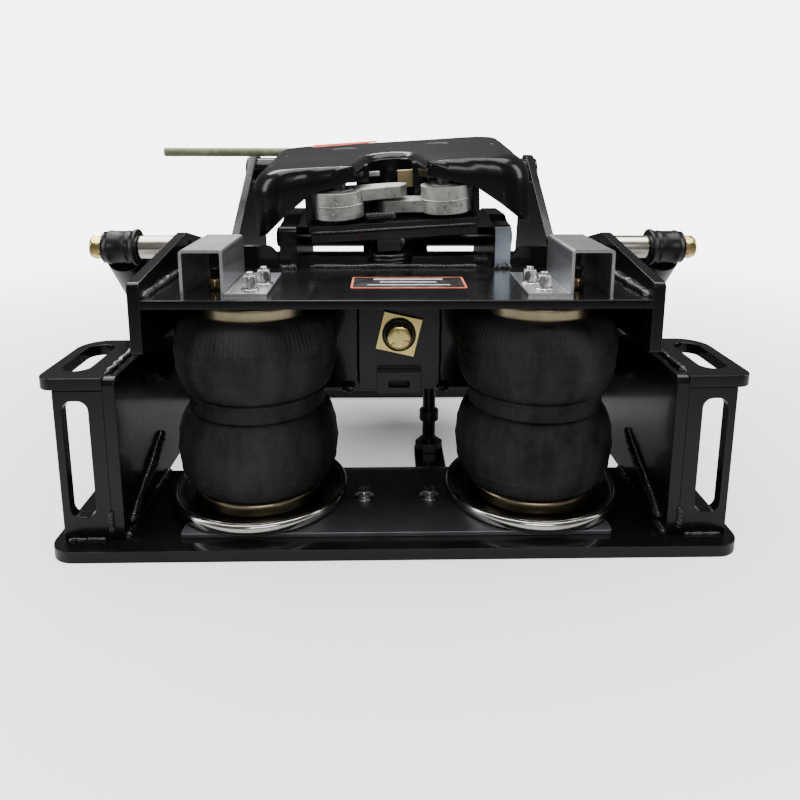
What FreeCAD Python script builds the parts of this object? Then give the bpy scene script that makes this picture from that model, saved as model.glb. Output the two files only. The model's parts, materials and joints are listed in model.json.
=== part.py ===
"""Air-ride fifth wheel hitch: a fixed base, a rocking frame on two air springs, and a tilting jaw head.

The row frame has +X to the right, +Y forward (the way the truck drives) and +Z up.
Its origin is the middle of the base footprint, on the bed rails.
"""

import FreeCAD, Part
import math
import os
import re

Vector = FreeCAD.Vector
Rotation = FreeCAD.Rotation
Placement = FreeCAD.Placement

doc = FreeCAD.newDocument("FifthWheelHitch")

# ---------------------------------------------------------------- driving dimensions

SIZES = {
    # fixed base
    "base_width": 682, "base_length": 680, "plate_thick": 12, "base_corner": 25,
    "rear_plate_depth": 168, "front_plate_depth": 250, "tongue_width": 36, "tongue_length": 72,
    "hold_down_x": 309, "hold_down_y": 279.4, "hold_down_radius": 8.75,
    "side_inner_x": 271, "side_end_y": 318, "side_height": 180, "side_waist": 165,
    "end_plate_width": 48, "grip_plate_width": 70, "grip_plate_length": 128,
    "grip_lap": 6, "grip_slot_in": 37, "grip_slot_back": 66.5, "grip_slot_width": 28,
    "grip_slot_length": 87,
    "window_in": 27.5, "window_up": 84.5, "window_width": 25, "window_height": 121, "window_corner": 10,
    # fixed front towers and the pivot of the rocking frame
    "swing_y": 250, "swing_z": 120, "shaft_radius": 16, "bush_radius": 20, "running_gap": 0.05,
    "shaft_hex": 46, "shaft_head": 12, "shaft_nut": 18,
    "tower_inner_x": 225, "tower_rear_y": 62, "tower_foot_y": 100, "tower_top": 372,
    "bar_y": 245, "bar_z": 346, "bar_radius": 20.5, "bar_half_length": 243,
    # air springs
    "bag_x": 150, "bag_y": -232, "bag_radius": 85, "bag_neck": 61, "girdle_radius": 64,
    "bag_bottom": 38, "bag_top": 228, "girdle_drop": 3, "girdle_half": 6,
    "spring_plate_half": 217, "spring_plate_thick": 5,
    "roll_radius": 95, "roll_rim_top": 30, "roll_floor": 6, "roll_core": 72,
    "seat_plate_rear": -318, "seat_plate_front": -177,
    "plate_bolt_x": 35.6, "plate_bolt_y": -248, "small_hex": 13, "bolt_head": 8, "washer_thick": 2,
    "plate_washer_radius": 11, "stud_washer_radius": 8.5,
    # rocking frame
    "rocker_inner_x": 245, "rocker_rear_y": -308, "upper_top": 254, "upper_thick": 9,
    "cross_rear_y": -144, "cross_thick": 10, "cross_bottom": 105, "cross_middle_top": 267,
    "cross_side_top": 279, "cross_front_y": 45, "cross_front_top": 240, "flange_thick": 8,
    "head_tower_x": 115, "head_tower_thick": 20, "doubler_thick": 6, "flange_reach": 39,
    "flange_high": 245, "notch_low": 253, "coil_gap": 4,
    "doubler_left": -43, "doubler_right": 52, "doubler_top": 243, "tower_crest": 312,
    "channel_outer": 210, "channel_inner": 171, "channel_flange": 127, "channel_sheet": 3,
    "channel_rear_y": -295, "channel_length": 105, "channel_top": 300,
    "stud_radius": 4, "stud_length": 22, "stud_nut": 14, "fitting_x": 183, "fitting_y": -260,
    "fitting_hex": 14, "fitting_base": 12, "fitting_neck": 14, "fitting_radius": 5,
    # centre bolt, bump block and label
    "centre_x": 4, "centre_z": 175, "centre_radius": 10, "washer_side": 47, "washer_deep": 5,
    "washer_turn": 13, "collar_radius": 20, "collar_deep": 6, "cap_radius": 15.5, "cap_deep": 11,
    "centre_hex": 30, "centre_nut": 16, "bump_left": -22.5, "bump_right": 30.5, "bump_low": 104,
    "bump_high": 131, "bump_deep": 14, "bump_slot_left": -8, "bump_slot_right": 16, "bump_slot_low": 112,
    "bump_slot_high": 120, "label_left": -48, "label_right": 72, "label_rear": -258, "label_front": -204,
    "label_thick": 0.6,
    # shock absorbers
    "shock_x": 324.5, "shock_top_y": -125, "shock_top_z": 275, "shock_low_y": 110, "shock_low_z": 50,
    "shock_bolt_radius": 8, "shock_eye_radius": 19, "shock_eye_half": 20.2, "bolt_end_x": 360,
    "shock_hex": 24, "shock_head": 15, "shock_nut": 9, "spacer_radius": 14, "shoulder_radius": 13,
    "eye_gap": 0.3, "low_eye_radius": 17, "cover_radius": 24, "cover_bore": 21.5, "cover_start": 16,
    "cover_end": 190, "cover_cap": 11, "piston_radius": 6, "piston_reach": 20, "damper_radius": 19,
    "damper_start": 140, "damper_bore": 8, "damper_bore_depth": 109, "damper_gap": 12, "low_pin_short": 6,
    # limit rod
    "rod_x": 43, "rod_y": -117, "rod_radius": 8, "rod_low": 2, "rod_top": 150, "rod_hole": 12,
    "rod_hex": 30, "rod_nut": 12, "nut_gap": 0.5, "bumper_low": 52, "bumper_thick": 14, "bumper_wall": 4,
    # head: a frame of its own, tilted about the head pivot
    "pivot_y": -60, "pivot_z": 278, "rest_pitch": 5, "rest_roll": -3.5, "stub_radius": 12.5,
    "stub_end": 150, "block_half_x": 38, "block_half_y": 22, "block_half_z": 20,
    "skid_half_width": 167, "skid_rear": -72, "skid_front": 200, "skid_top": 103, "skid_sheet": 7,
    "skid_skirt_bottom": 22, "skid_corner": 40, "skid_crown": 26, "skid_hole_radius": 4.5,
    "throat_radius": 27, "throat_y": 10, "throat_mouth": 43,
    "bed_rear": -78, "bed_top": 36, "bed_thick": 8, "bed_half_width": 100, "bed_front": 130,
    "apron_low": 16, "apron_thick": 8, "pin_web_y": 23, "pin_web_thick": 8, "pin_web_half": 40,
    "side_web_thick": 8, "side_web_rear": -40, "side_web_front": 100, "side_web_lap": 2,
    "finger_width": 28, "finger_inset": 3,
    "saddle_half": 44, "saddle_rear": -12, "saddle_front": 54,
    "jaw_pin_x": 64, "jaw_pin_y": -51, "jaw_pin_radius": 10, "jaw_pin_low": 22, "jaw_pin_top": 84,
    "jaw_boss_radius": 29.5, "jaw_bottom": 41.5, "jaw_thick": 31.5, "jaw_arm_thick": 14,
    "jaw_notch_width": 22, "jaw_notch_in": 24, "jaw_notch_deep": 10,
    "fork_low": 46, "fork_thick": 12, "fork_prong": 5, "fork_tip": 27, "fork_bridge": 76, "fork_stem": 9,
    "fork_rail": 14, "cam_gap": 2, "peg_y": 132, "peg_radius": 4, "peg_length": 12,
    "cam_thick": 6, "cam_slot_radius": 4.5, "handle_travel": 90, "lock_travel": 30,
    "handle_radius": 5, "handle_y": 215, "handle_end": -345,
    "coil_x": -7, "coil_y": -122, "coil_radius": 22, "coil_bore": 16, "coil_low": 253, "coil_top": 268.5,
}

sheet = doc.addObject("Spreadsheet::Sheet", "Dimensions")
for row, (alias, value) in enumerate(SIZES.items(), start=1):
    sheet.set(f"A{row}", alias)
    sheet.set(f"B{row}", str(value))
    sheet.setAlias(f"B{row}", alias)
doc.recompute()


def dim(alias):
    """The sheet's value of a driving dimension."""
    return float(sheet.get(alias))


def bind(feature, prop, formula):
    """Tie a property to a number, or to a formula whose words are aliases of the sheet."""
    linked = re.sub(r"(?!sqrt)\b[a-z][a-z_]+", lambda word: "Dimensions." + word.group(), str(formula))
    feature.setExpression(prop, linked)


# ---------------------------------------------------------------- building blocks

NODES = []


def node(feature, label):
    """Give a finished sub-part its name and remember it."""
    feature.Label = label
    NODES.append(feature)
    return feature


def rounded(points):
    """Edges of a closed outline whose corners (x, y, radius) are rounded by tangent arcs."""
    count = len(points)
    starts, ends, arcs = [], [], []
    for i, (x, y, radius) in enumerate(points):
        corner = Vector(x, y, 0)
        before = (Vector(*points[i - 1][:2], 0) - corner).normalize()
        after = (Vector(*points[(i + 1) % count][:2], 0) - corner).normalize()
        if radius <= 0:
            starts.append(corner)
            ends.append(corner)
            arcs.append(None)
            continue
        half = before.getAngle(after) / 2
        first = corner + before * (radius / math.tan(half))
        last = corner + after * (radius / math.tan(half))
        centre = corner + (before + after).normalize() * (radius / math.sin(half))
        middle = centre + (corner - centre).normalize() * radius
        starts.append(first)
        ends.append(last)
        arcs.append(Part.Arc(first, middle, last))
    edges = []
    for i in range(count):
        if arcs[i]:
            edges.append(arcs[i])
        follow = starts[(i + 1) % count]
        if (follow - ends[i]).Length > 1e-6:
            edges.append(Part.LineSegment(ends[i], follow))
    return edges


def circle(x, y, radius):
    return [Part.Circle(Vector(x, y, 0), Vector(0, 0, 1), radius)]


def slot(x, y, half_length, radius, turn=90):
    """A round-ended slot about (x, y), its long way at turn degrees from the first axis."""
    along = Vector(math.cos(math.radians(turn)), math.sin(math.radians(turn)), 0)
    across = Vector(-along.y, along.x, 0)
    middle = Vector(x, y, 0)
    reach = half_length - radius
    a, b = middle + along * reach, middle - along * reach
    return [
        Part.LineSegment(b + across * radius, a + across * radius),
        Part.Arc(a + across * radius, a + along * radius, a - across * radius),
        Part.LineSegment(a - across * radius, b - across * radius),
        Part.Arc(b - across * radius, b - along * radius, b + across * radius),
    ]


def sketch_on(body, role, offset, outlines):
    """A sketch on one of the body's own origin planes, moved along its normal by offset."""
    drawing = body.newObject("Sketcher::SketchObject", body.Name + "_sketch")
    plane = [feature for feature in body.Origin.OriginFeatures if feature.Role == role][0]
    drawing.AttachmentSupport = (plane, [""])
    drawing.MapMode = "FlatFace"
    drawing.AttachmentOffset = Placement(Vector(0, 0, offset), Rotation())
    for outline in outlines:
        for curve in outline:
            drawing.addGeometry(curve, False)
    return drawing


def plate(name, role, offset, thickness, outlines, whole=True):
    """A flat plate: outlines on a plane, padded by a thickness formula along the plane's normal.

    XY sketches draw (X, Y) and pad up, XZ sketches draw (X, Z) and pad rearward,
    YZ sketches draw (Y, Z) and pad to the right. A plate that isn't whole is part of another piece.
    """
    body = doc.addObject("PartDesign::Body", name)
    drawing = sketch_on(body, role, offset, outlines)
    pad = body.newObject("PartDesign::Pad", name + "_pad")
    pad.Profile = drawing
    bind(pad, "Length", thickness)
    body.Tip = pad
    return node(body, name) if whole else body


def turned(name, profile, x, y):
    """A turned piece: a closed (radius, z) profile revolved about the vertical through (x, y)."""
    body = doc.addObject("PartDesign::Body", name)
    drawing = sketch_on(body, "XZ_Plane", 0, [profile])
    spin = body.newObject("PartDesign::Revolution", name + "_turn")
    spin.Profile = drawing
    spin.ReferenceAxis = (drawing, ["V_Axis"])
    spin.Angle = 360
    body.Tip = spin
    body.Placement = Placement(Vector(x, y, 0), Rotation())
    return node(body, name)


def block(name, low, size):
    """A box whose low corner and size are formulas on the sheet."""
    feature = doc.addObject("Part::Box", name)
    for prop, formula in zip(("Length", "Width", "Height"), size):
        bind(feature, prop, formula)
    for prop, formula in zip(("x", "y", "z"), low):
        bind(feature, "Placement.Base." + prop, formula)
    return feature


AXIS_TURNS = {
    "X": Rotation(Vector(0, 1, 0), 90),
    "-X": Rotation(Vector(0, 1, 0), -90),
    "Y": Rotation(Vector(1, 0, 0), -90),
    "-Y": Rotation(Vector(1, 0, 0), 90),
    "Z": Rotation(),
}


def rod(name, start, axis, radius, length):
    """A cylinder from a start point along an axis, radius and length given as formulas."""
    feature = doc.addObject("Part::Cylinder", name)
    bind(feature, "Radius", radius)
    bind(feature, "Height", length)
    feature.Placement = Placement(Vector(*start), AXIS_TURNS[axis])
    return feature


def hexagon(name, start, axis, across_flats, length):
    """A hexagonal prism from a start point along an axis. Its size is given as two formulas."""
    feature = doc.addObject("Part::Prism", name)
    feature.Polygon = 6
    bind(feature, "Circumradius", f"({across_flats}) / sqrt(3)")
    bind(feature, "Height", length)
    feature.Placement = Placement(Vector(*start), AXIS_TURNS[axis])
    return feature


def fuse(name, pieces):
    feature = doc.addObject("Part::MultiFuse", name)
    feature.Shapes = pieces
    return feature


def cut(name, base, tools):
    tool = tools[0] if len(tools) == 1 else fuse(name + "_tools", tools)
    feature = doc.addObject("Part::Cut", name)
    feature.Base = base
    feature.Tool = tool
    return feature


def group(name, pieces):
    """Identical pieces kept as separate solids of one sub-part."""
    feature = doc.addObject("Part::Compound", name)
    feature.Links = pieces
    return node(feature, name)


def mirrored(outline_points, side):
    """An outline drawn for +X, or its mirror image for -X."""
    return [(side * x, y, radius) for x, y, radius in outline_points]


SIDES = (("left", -1), ("right", 1))
ENDS = (("rear", -1), ("front", 1))

half_width = dim("base_width") / 2
half_length = dim("base_length") / 2
thick = dim("plate_thick")

# ---------------------------------------------------------------- fixed base


def make_base_plates():
    corner = dim("base_corner")
    rear_edge = dim("rear_plate_depth") - half_length
    tongue_low = dim("rod_x") - dim("tongue_width") / 2
    tongue_high = dim("rod_x") + dim("tongue_width") / 2
    tongue_end = rear_edge + dim("tongue_length")
    hole_x, hole_y, hole_radius = dim("hold_down_x"), dim("hold_down_y"), dim("hold_down_radius")
    rear = [
        (-half_width, -half_length, corner), (half_width, -half_length, corner),
        (half_width, rear_edge, 6), (tongue_high, rear_edge, 6), (tongue_high, tongue_end, 10),
        (tongue_low, tongue_end, 10), (tongue_low, rear_edge, 6), (-half_width, rear_edge, 6),
    ]
    rear_holes = [circle(side * hole_x, -hole_y, hole_radius) for _, side in SIDES]
    rear_holes.append(circle(dim("rod_x"), dim("rod_y"), dim("rod_radius")))
    plate("base_plate_rear", "XY_Plane", 0, "plate_thick", [rounded(rear)] + rear_holes)
    front_edge = half_length - dim("front_plate_depth")
    front = [
        (-half_width, front_edge, 6), (half_width, front_edge, 6),
        (half_width, half_length, corner), (-half_width, half_length, corner),
    ]
    front_holes = [circle(side * hole_x, hole_y, hole_radius) for _, side in SIDES]
    plate("base_plate_front", "XY_Plane", 0, "plate_thick", [rounded(front)] + front_holes)


def make_side_plates():
    end, top, waist = dim("side_end_y"), dim("side_height"), dim("side_waist")
    grip = end - dim("grip_plate_length")
    outline = [
        (-end, thick, 0), (end, thick, 0), (end, top, 8), (grip, top, 20), (grip - 60, waist + 8, 40),
        (60, waist, 60), (-120, waist, 30), (-grip + 10, top, 20), (-end, top, 8),
    ]
    shaft = circle(dim("swing_y"), dim("swing_z"), dim("shaft_radius"))
    for side_name, side in SIDES:
        inner = dim("side_inner_x")
        offset = inner if side > 0 else -inner - thick
        plate(f"side_plate_{side_name}", "YZ_Plane", offset, "plate_thick", [rounded(outline), shaft])


def make_corner_boxes():
    """A windowed end plate and a slotted grip plate close each corner of the base."""
    inner = dim("side_inner_x") + thick
    outer = inner + dim("end_plate_width")
    grip_low = dim("side_height") - thick
    window_x, window_z = inner + dim("window_in"), thick + dim("window_up")
    slot_x = inner + dim("grip_slot_in")
    grip_outer = inner - dim("grip_lap") + dim("grip_plate_width")
    for end_name, end in ENDS:
        for side_name, side in SIDES:
            edge = [(inner, thick, 0), (outer, thick, 0), (outer, grip_low, 0), (inner, grip_low, 0)]
            width, height, turn = dim("window_width") / 2, dim("window_height") / 2, dim("window_corner")
            window = [
                (window_x - width, window_z - height, turn), (window_x + width, window_z - height, turn),
                (window_x + width, window_z + height, turn), (window_x - width, window_z + height, turn),
            ]
            front_face = -dim("side_end_y") + thick if end < 0 else dim("side_end_y")
            plate(
                f"end_plate_{end_name}_{side_name}", "XZ_Plane", -front_face, "plate_thick",
                [rounded(mirrored(edge, side)), rounded(mirrored(window, side))],
            )
            near = dim("side_end_y")
            far = near - dim("grip_plate_length")
            grip = [(inner, near, 0), (grip_outer, near, 16), (grip_outer, far, 30), (inner, far, 0)]
            outline = [(side * x, end * y, radius) for x, y, radius in grip]
            opening = slot(side * slot_x, end * (near - dim("grip_slot_back")),
                           dim("grip_slot_length") / 2, dim("grip_slot_width") / 2)
            plate(
                f"grip_plate_{end_name}_{side_name}", "XY_Plane", grip_low, "plate_thick",
                [rounded(outline), opening],
            )


def make_front_towers():
    """Two towers with a solid tie bar through their tops."""
    foot, rear, end, top = dim("tower_foot_y"), dim("tower_rear_y"), dim("side_end_y"), dim("tower_top")
    bar_y = dim("bar_y")
    outline = [
        (foot, thick, 0), (end, thick, 0), (end, 150, 20), (bar_y + 29, top, 14), (bar_y - 9, top, 14),
        (rear, 258, 6), (rear, 240, 6), (foot, 215, 30),
    ]
    shaft = circle(dim("swing_y"), dim("swing_z"), dim("shaft_radius"))
    bar_hole = circle(bar_y, dim("bar_z"), dim("bar_radius"))
    for side_name, side in SIDES:
        offset = dim("tower_inner_x") if side > 0 else -dim("tower_inner_x") - thick
        plate(f"front_tower_{side_name}", "YZ_Plane", offset, "plate_thick",
              [rounded(outline), shaft, bar_hole])
    start = (-dim("bar_half_length"), bar_y, dim("bar_z"))
    node(rod("tower_bar", start, "X", "bar_radius", "2*bar_half_length"), "tower_bar")


def make_pivot_shafts():
    """Each shaft spans the side plate, the rocking frame and the front tower, with a nut inside."""
    pieces = []
    height = (dim("swing_y"), dim("swing_z"))
    nut_start = dim("tower_inner_x") - dim("shaft_nut")
    for side_name, side in SIDES:
        axis = "X" if side > 0 else "-X"
        outer = dim("side_inner_x") + thick
        shank = rod(f"shaft_shank_{side_name}", (side * (nut_start - 4), *height), axis, "shaft_radius",
                    "side_inner_x + plate_thick - tower_inner_x + shaft_nut + 4")
        cap = hexagon(f"shaft_head_{side_name}", (side * outer, *height), axis, "shaft_hex", "shaft_head")
        pieces.append(fuse(f"shaft_{side_name}", [shank, cap]))
        nut = hexagon(f"shaft_nut_solid_{side_name}", (side * nut_start, *height), axis, "shaft_hex",
                      "shaft_nut")
        bore = rod(f"shaft_nut_bore_{side_name}", (side * nut_start, *height), axis, "shaft_radius",
                   "shaft_nut")
        pieces.append(cut(f"shaft_nut_{side_name}", nut, [bore]))
    group("pivot_shafts", pieces)


def make_spring_seats():
    """The loose aluminium plate, its bolts, and the rolled steel dish under each air spring."""
    half, rear, front = dim("spring_plate_half"), dim("seat_plate_rear"), dim("seat_plate_front")
    outline = [(-half, rear, 4), (half, rear, 4), (half, front, 4), (-half, front, 4)]
    plate("spring_mount_plate", "XY_Plane", thick, "spring_plate_thick", [rounded(outline)])
    top = thick + dim("spring_plate_thick")
    bolts = []
    for side_name, side in SIDES:
        spot = (side * dim("plate_bolt_x"), dim("plate_bolt_y"))
        washer = rod(f"plate_washer_{side_name}", (*spot, top), "Z", "plate_washer_radius", "washer_thick")
        cap = hexagon(f"plate_bolt_head_{side_name}", (*spot, top + dim("washer_thick")), "Z", "small_hex",
                      "bolt_head")
        bolts.append(fuse(f"plate_bolt_{side_name}", [washer, cap]))
    group("plate_bolts", bolts)
    rim, rim_top, seat = dim("roll_radius"), dim("roll_rim_top"), dim("bag_bottom")
    floor, core = top + dim("roll_floor"), dim("roll_core")
    dish = [
        (0, top, 0), (rim - 2, top, 2), (rim, top + 7, 2), (rim - 3, rim_top, 2.5), (rim - 9, rim_top, 2.5),
        (rim - 14, floor, 2), (core, floor, 2), (core - 2, seat, 2), (0, seat, 0),
    ]
    for side_name, side in SIDES:
        turned(f"roll_plate_{side_name}", rounded(dish), side * dim("bag_x"), dim("bag_y"))


def make_air_springs():
    """Two lobes with a girdle ring between them, as one closed solid each."""
    low, high, lobe = dim("bag_bottom"), dim("bag_top"), dim("bag_radius")
    neck, girdle = dim("bag_neck"), dim("girdle_radius")
    middle = (low + high) / 2 - dim("girdle_drop")
    under, over = middle - dim("girdle_half"), middle + dim("girdle_half")
    reach = (high - low) / 4
    profile = [
        Part.LineSegment(Vector(0, low, 0), Vector(neck, low, 0)),
        Part.Arc(Vector(neck, low, 0), Vector(lobe, low + reach, 0), Vector(girdle, under, 0)),
        Part.LineSegment(Vector(girdle, under, 0), Vector(girdle, over, 0)),
        Part.Arc(Vector(girdle, over, 0), Vector(lobe, high - reach, 0), Vector(neck, high, 0)),
        Part.LineSegment(Vector(neck, high, 0), Vector(0, high, 0)),
        Part.LineSegment(Vector(0, high, 0), Vector(0, low, 0)),
    ]
    rings = []
    for side_name, side in SIDES:
        turned(f"air_spring_{side_name}", profile, side * dim("bag_x"), dim("bag_y"))
        spot = (side * dim("bag_x"), dim("bag_y"), high)
        rings.append(rod(f"bead_ring_{side_name}", spot, "Z", "bag_neck",
                         "upper_top - upper_thick - bag_top"))
    group("upper_bead_rings", rings)


def make_limit_rod():
    """The rod that ends the frame's travel: a nut above for the top, a rubber below for the bottom."""
    x, y = dim("rod_x"), dim("rod_y")
    node(rod("limit_rod", (x, y, dim("rod_low")), "Z", "rod_radius", "rod_top - rod_low"), "limit_rod")
    spot = (x, y, dim("bumper_low"))
    rubber = rod("bumper_solid", spot, "Z", "rod_radius + bumper_wall", "bumper_thick")
    rubber_bore = rod("bumper_bore", spot, "Z", "rod_radius", "bumper_thick")
    node(cut("limit_bumper", rubber, [rubber_bore]), "limit_bumper")
    nuts = []
    flange_top = dim("cross_bottom") + dim("flange_thick")
    for name, low in (("foot", thick), ("top", flange_top + dim("nut_gap"))):
        solid = hexagon(f"limit_nut_solid_{name}", (x, y, low), "Z", "rod_hex", "rod_nut")
        bore = rod(f"limit_nut_bore_{name}", (x, y, low), "Z", "rod_radius", "rod_nut")
        nuts.append(cut(f"limit_nut_{name}", solid, [bore]))
    group("limit_nuts", nuts)


# ---------------------------------------------------------------- rocking frame


def make_rocker_frame():
    top, sheet_low = dim("upper_top"), dim("upper_top") - dim("upper_thick")
    inner, rear = dim("rocker_inner_x"), dim("rocker_rear_y")
    cross = dim("cross_rear_y")
    upper = [(-inner, rear - 2, 0), (inner, rear - 2, 0), (inner, cross, 0), (-inner, cross, 0)]
    plate("upper_plate", "XY_Plane", sheet_low, "upper_thick", [rounded(upper)])

    low = dim("cross_bottom")
    side_outline = [
        (rear, 199, 4), (rear, 270, 6), (-132, 294, 18), (-50, 275, 60), (120, 235, 80), (286, 165, 30),
        (296, 84, 30), (212, 84, 30), (60, low, 60), (-120, low, 20), (-152, 128, 20), (-176, 199, 25),
    ]
    bush_hole = circle(dim("swing_y"), dim("swing_z"), dim("bush_radius"))
    bolt_hole = circle(dim("shock_top_y"), dim("shock_top_z"), dim("shock_bolt_radius"))
    for side_name, side in SIDES:
        offset = inner if side > 0 else -inner - thick
        plate(f"rocker_side_{side_name}", "YZ_Plane", offset, "plate_thick",
              [rounded(side_outline), bush_hole, bolt_hole])

    make_rear_cross_member()
    deep = dim("cross_thick")
    front, low = dim("cross_front_y"), dim("cross_bottom")
    front_web = [(-inner, low, 0), (inner, low, 0), (inner, dim("cross_front_top"), 0),
                 (-inner, dim("cross_front_top"), 0)]
    plate("rocker_cross_front", "XZ_Plane", -front - deep, "cross_thick", [rounded(front_web)])

    crest = dim("tower_crest")
    tower = [
        (cross - 6, top, 0), (cross - 6, crest - 9, 8), (cross + 26, crest - 6, 10),
        (cross + 44, crest, 30), (dim("pivot_y") + 40, crest, 30), (front, 250, 20),
        (front, low, 0), (cross + deep, low, 0), (cross + deep, top, 0),
    ]
    stub = circle(dim("pivot_y"), dim("pivot_z"), dim("stub_radius") + dim("running_gap"))
    tower_in = dim("head_tower_x")
    for side_name, side in SIDES:
        offset = tower_in if side > 0 else -tower_in - dim("head_tower_thick")
        plate(f"head_tower_{side_name}", "YZ_Plane", offset, "head_tower_thick", [rounded(tower), stub])


def make_rear_cross_member():
    """A web notched for the head's towers and coil, a doubler on its face, and two flanges ahead of it."""
    inner, top, low = dim("rocker_inner_x"), dim("upper_top"), dim("cross_bottom")
    cross, deep, reach = dim("cross_rear_y"), dim("cross_thick"), dim("flange_reach")
    notch_in, notch_out = dim("head_tower_x"), dim("head_tower_x") + dim("head_tower_thick")
    middle_top, side_top, seat = dim("cross_middle_top"), dim("cross_side_top"), dim("notch_low")
    coil_room = dim("coil_radius") + dim("coil_gap")
    coil_left, coil_right = dim("coil_x") - coil_room, dim("coil_x") + coil_room
    shelf, ear = side_top - 14, notch_out + 12
    web = [
        (-inner, low, 0), (inner, low, 0), (inner, side_top, 0), (ear, side_top, 10),
        (notch_out, shelf, 0), (notch_out, top, 0), (notch_in, top, 0), (notch_in, middle_top, 0),
        (coil_right, middle_top, 3), (coil_right, seat, 3), (coil_left, seat, 3),
        (coil_left, middle_top, 3), (-notch_in, middle_top, 0), (-notch_in, top, 0),
        (-notch_out, top, 0), (-notch_out, shelf, 0), (-ear, side_top, 10), (-inner, side_top, 0),
    ]
    bolt_hole = circle(dim("centre_x"), dim("centre_z"), dim("centre_radius"))
    left, right, face_top = dim("doubler_left"), dim("doubler_right"), dim("doubler_top")
    face = [(left, low, 0), (right, low, 0), (right, face_top, 0), (left, face_top, 0)]
    edge = [(-notch_in, cross + deep, 0), (notch_in, cross + deep, 0),
            (notch_in, cross + deep + reach, 0), (-notch_in, cross + deep + reach, 0)]
    rod_hole = circle(dim("rod_x"), dim("rod_y"), dim("rod_hole"))
    pieces = [
        plate("rear_web", "XZ_Plane", -cross - deep, "cross_thick", [rounded(web), bolt_hole], False),
        plate("doubler", "XZ_Plane", -cross, "doubler_thick", [rounded(face), bolt_hole], False),
        plate("flange_low", "XY_Plane", low, "flange_thick", [rounded(edge), rod_hole], False),
        plate("flange_high", "XY_Plane", dim("flange_high"), "flange_thick", [rounded(edge)], False),
    ]
    node(fuse("rocker_cross_rear", pieces), "rocker_cross_rear")


def make_pivot_bushings():
    pieces = []
    height = (dim("swing_y"), dim("swing_z"))
    for side_name, side in SIDES:
        axis = "X" if side > 0 else "-X"
        start = (side * (dim("tower_inner_x") + thick + 1), *height)
        outer = rod(f"bush_outer_{side_name}", start, axis, "bush_radius",
                    "side_inner_x - tower_inner_x - plate_thick - 2")
        bore = rod(f"bush_bore_{side_name}", start, axis, "shaft_radius + running_gap",
                   "side_inner_x - tower_inner_x - plate_thick - 2")
        pieces.append(cut(f"bush_{side_name}", outer, [bore]))
    group("pivot_bushings", pieces)


def make_channels():
    """Aluminium channels over the air fittings, each on one flange with two studs and tall nuts."""
    top, skin = dim("upper_top"), dim("channel_sheet")
    outer, inner, flange = dim("channel_outer"), dim("channel_inner"), dim("channel_flange")
    roof = dim("channel_top")
    section = [
        (flange, top, 0), (inner, top, 0), (inner, roof - skin, 2), (outer - skin, roof - skin, 2),
        (outer - skin, top, 0), (outer, top, 0), (outer, roof, 4), (inner - skin, roof, 4),
        (inner - skin, top + skin, 2), (flange, top + skin, 0),
    ]
    far = dim("channel_rear_y") + dim("channel_length")
    stud_spots = ((146, -277), (137, -249))
    studs, fittings = [], []
    for side_name, side in SIDES:
        plate(f"channel_cover_{side_name}", "XZ_Plane", -far, "channel_length",
              [rounded(mirrored(section, side))])
        for i, (x, y) in enumerate(stud_spots):
            spot = (side * x, y)
            low = top + skin
            washer = rod(f"stud_washer_{side_name}_{i}", (*spot, low), "Z", "stud_washer_radius",
                         "washer_thick")
            nut = hexagon(f"stud_nut_{side_name}_{i}", (*spot, low + dim("washer_thick")), "Z", "small_hex",
                          "stud_nut")
            shank = rod(f"stud_shank_{side_name}_{i}", (*spot, low), "Z", "stud_radius", "stud_length")
            studs.append(fuse(f"stud_{side_name}_{i}", [washer, nut, shank]))
        spot = (side * dim("fitting_x"), dim("fitting_y"))
        base = hexagon(f"fitting_hex_{side_name}", (*spot, top), "Z", "fitting_hex", "fitting_base")
        neck = rod(f"fitting_neck_{side_name}", (*spot, top + dim("fitting_base")), "Z", "fitting_radius",
                   "fitting_neck")
        fittings.append(fuse(f"fitting_{side_name}", [base, neck]))
    group("channel_studs", studs)
    group("air_fittings", fittings)


def make_centre_bolt():
    """The big bolt in the rear cross member, its square washer, and the bump block below it."""
    x, z, side, deep = dim("centre_x"), dim("centre_z"), dim("washer_side"), dim("washer_deep")
    face = dim("cross_rear_y") - dim("doubler_thick")
    back = face + dim("doubler_thick") + dim("cross_thick")
    washer = doc.addObject("Part::Box", "washer_solid")
    bind(washer, "Length", "washer_side")
    bind(washer, "Width", "washer_deep")
    bind(washer, "Height", "washer_side")
    turn = Rotation(Vector(0, 1, 0), dim("washer_turn"))
    low_corner = Vector(x, face - deep, z) - turn.multVec(Vector(side / 2, 0, side / 2))
    washer.Placement = Placement(low_corner, turn)
    bore = rod("washer_bore", (x, face, z), "-Y", "centre_radius", "washer_deep")
    node(cut("square_washer", washer, [bore]), "square_washer")
    shank = rod("centre_shank", (x, face - deep, z), "Y", "centre_radius",
                "washer_deep + doubler_thick + cross_thick + centre_nut")
    collar = rod("centre_collar", (x, face - deep, z), "-Y", "collar_radius", "collar_deep")
    cap = rod("centre_cap", (x, face - deep - dim("collar_deep"), z), "-Y", "cap_radius", "cap_deep")
    nut = hexagon("centre_nut", (x, back, z), "Y", "centre_hex", "centre_nut")
    node(fuse("centre_bolt", [shank, collar, cap, nut]), "centre_bolt")
    left, right, low, high = dim("bump_left"), dim("bump_right"), dim("bump_low"), dim("bump_high")
    outline = [(left, low, 4), (right, low, 4), (right, high, 0), (left, high, 0)]
    left, right = dim("bump_slot_left"), dim("bump_slot_right")
    low, high = dim("bump_slot_low"), dim("bump_slot_high")
    hollow = [(left, low, 2), (right, low, 2), (right, high, 2), (left, high, 2)]
    plate("bump_block", "XZ_Plane", -face, "bump_deep", [rounded(outline), rounded(hollow)])


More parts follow.
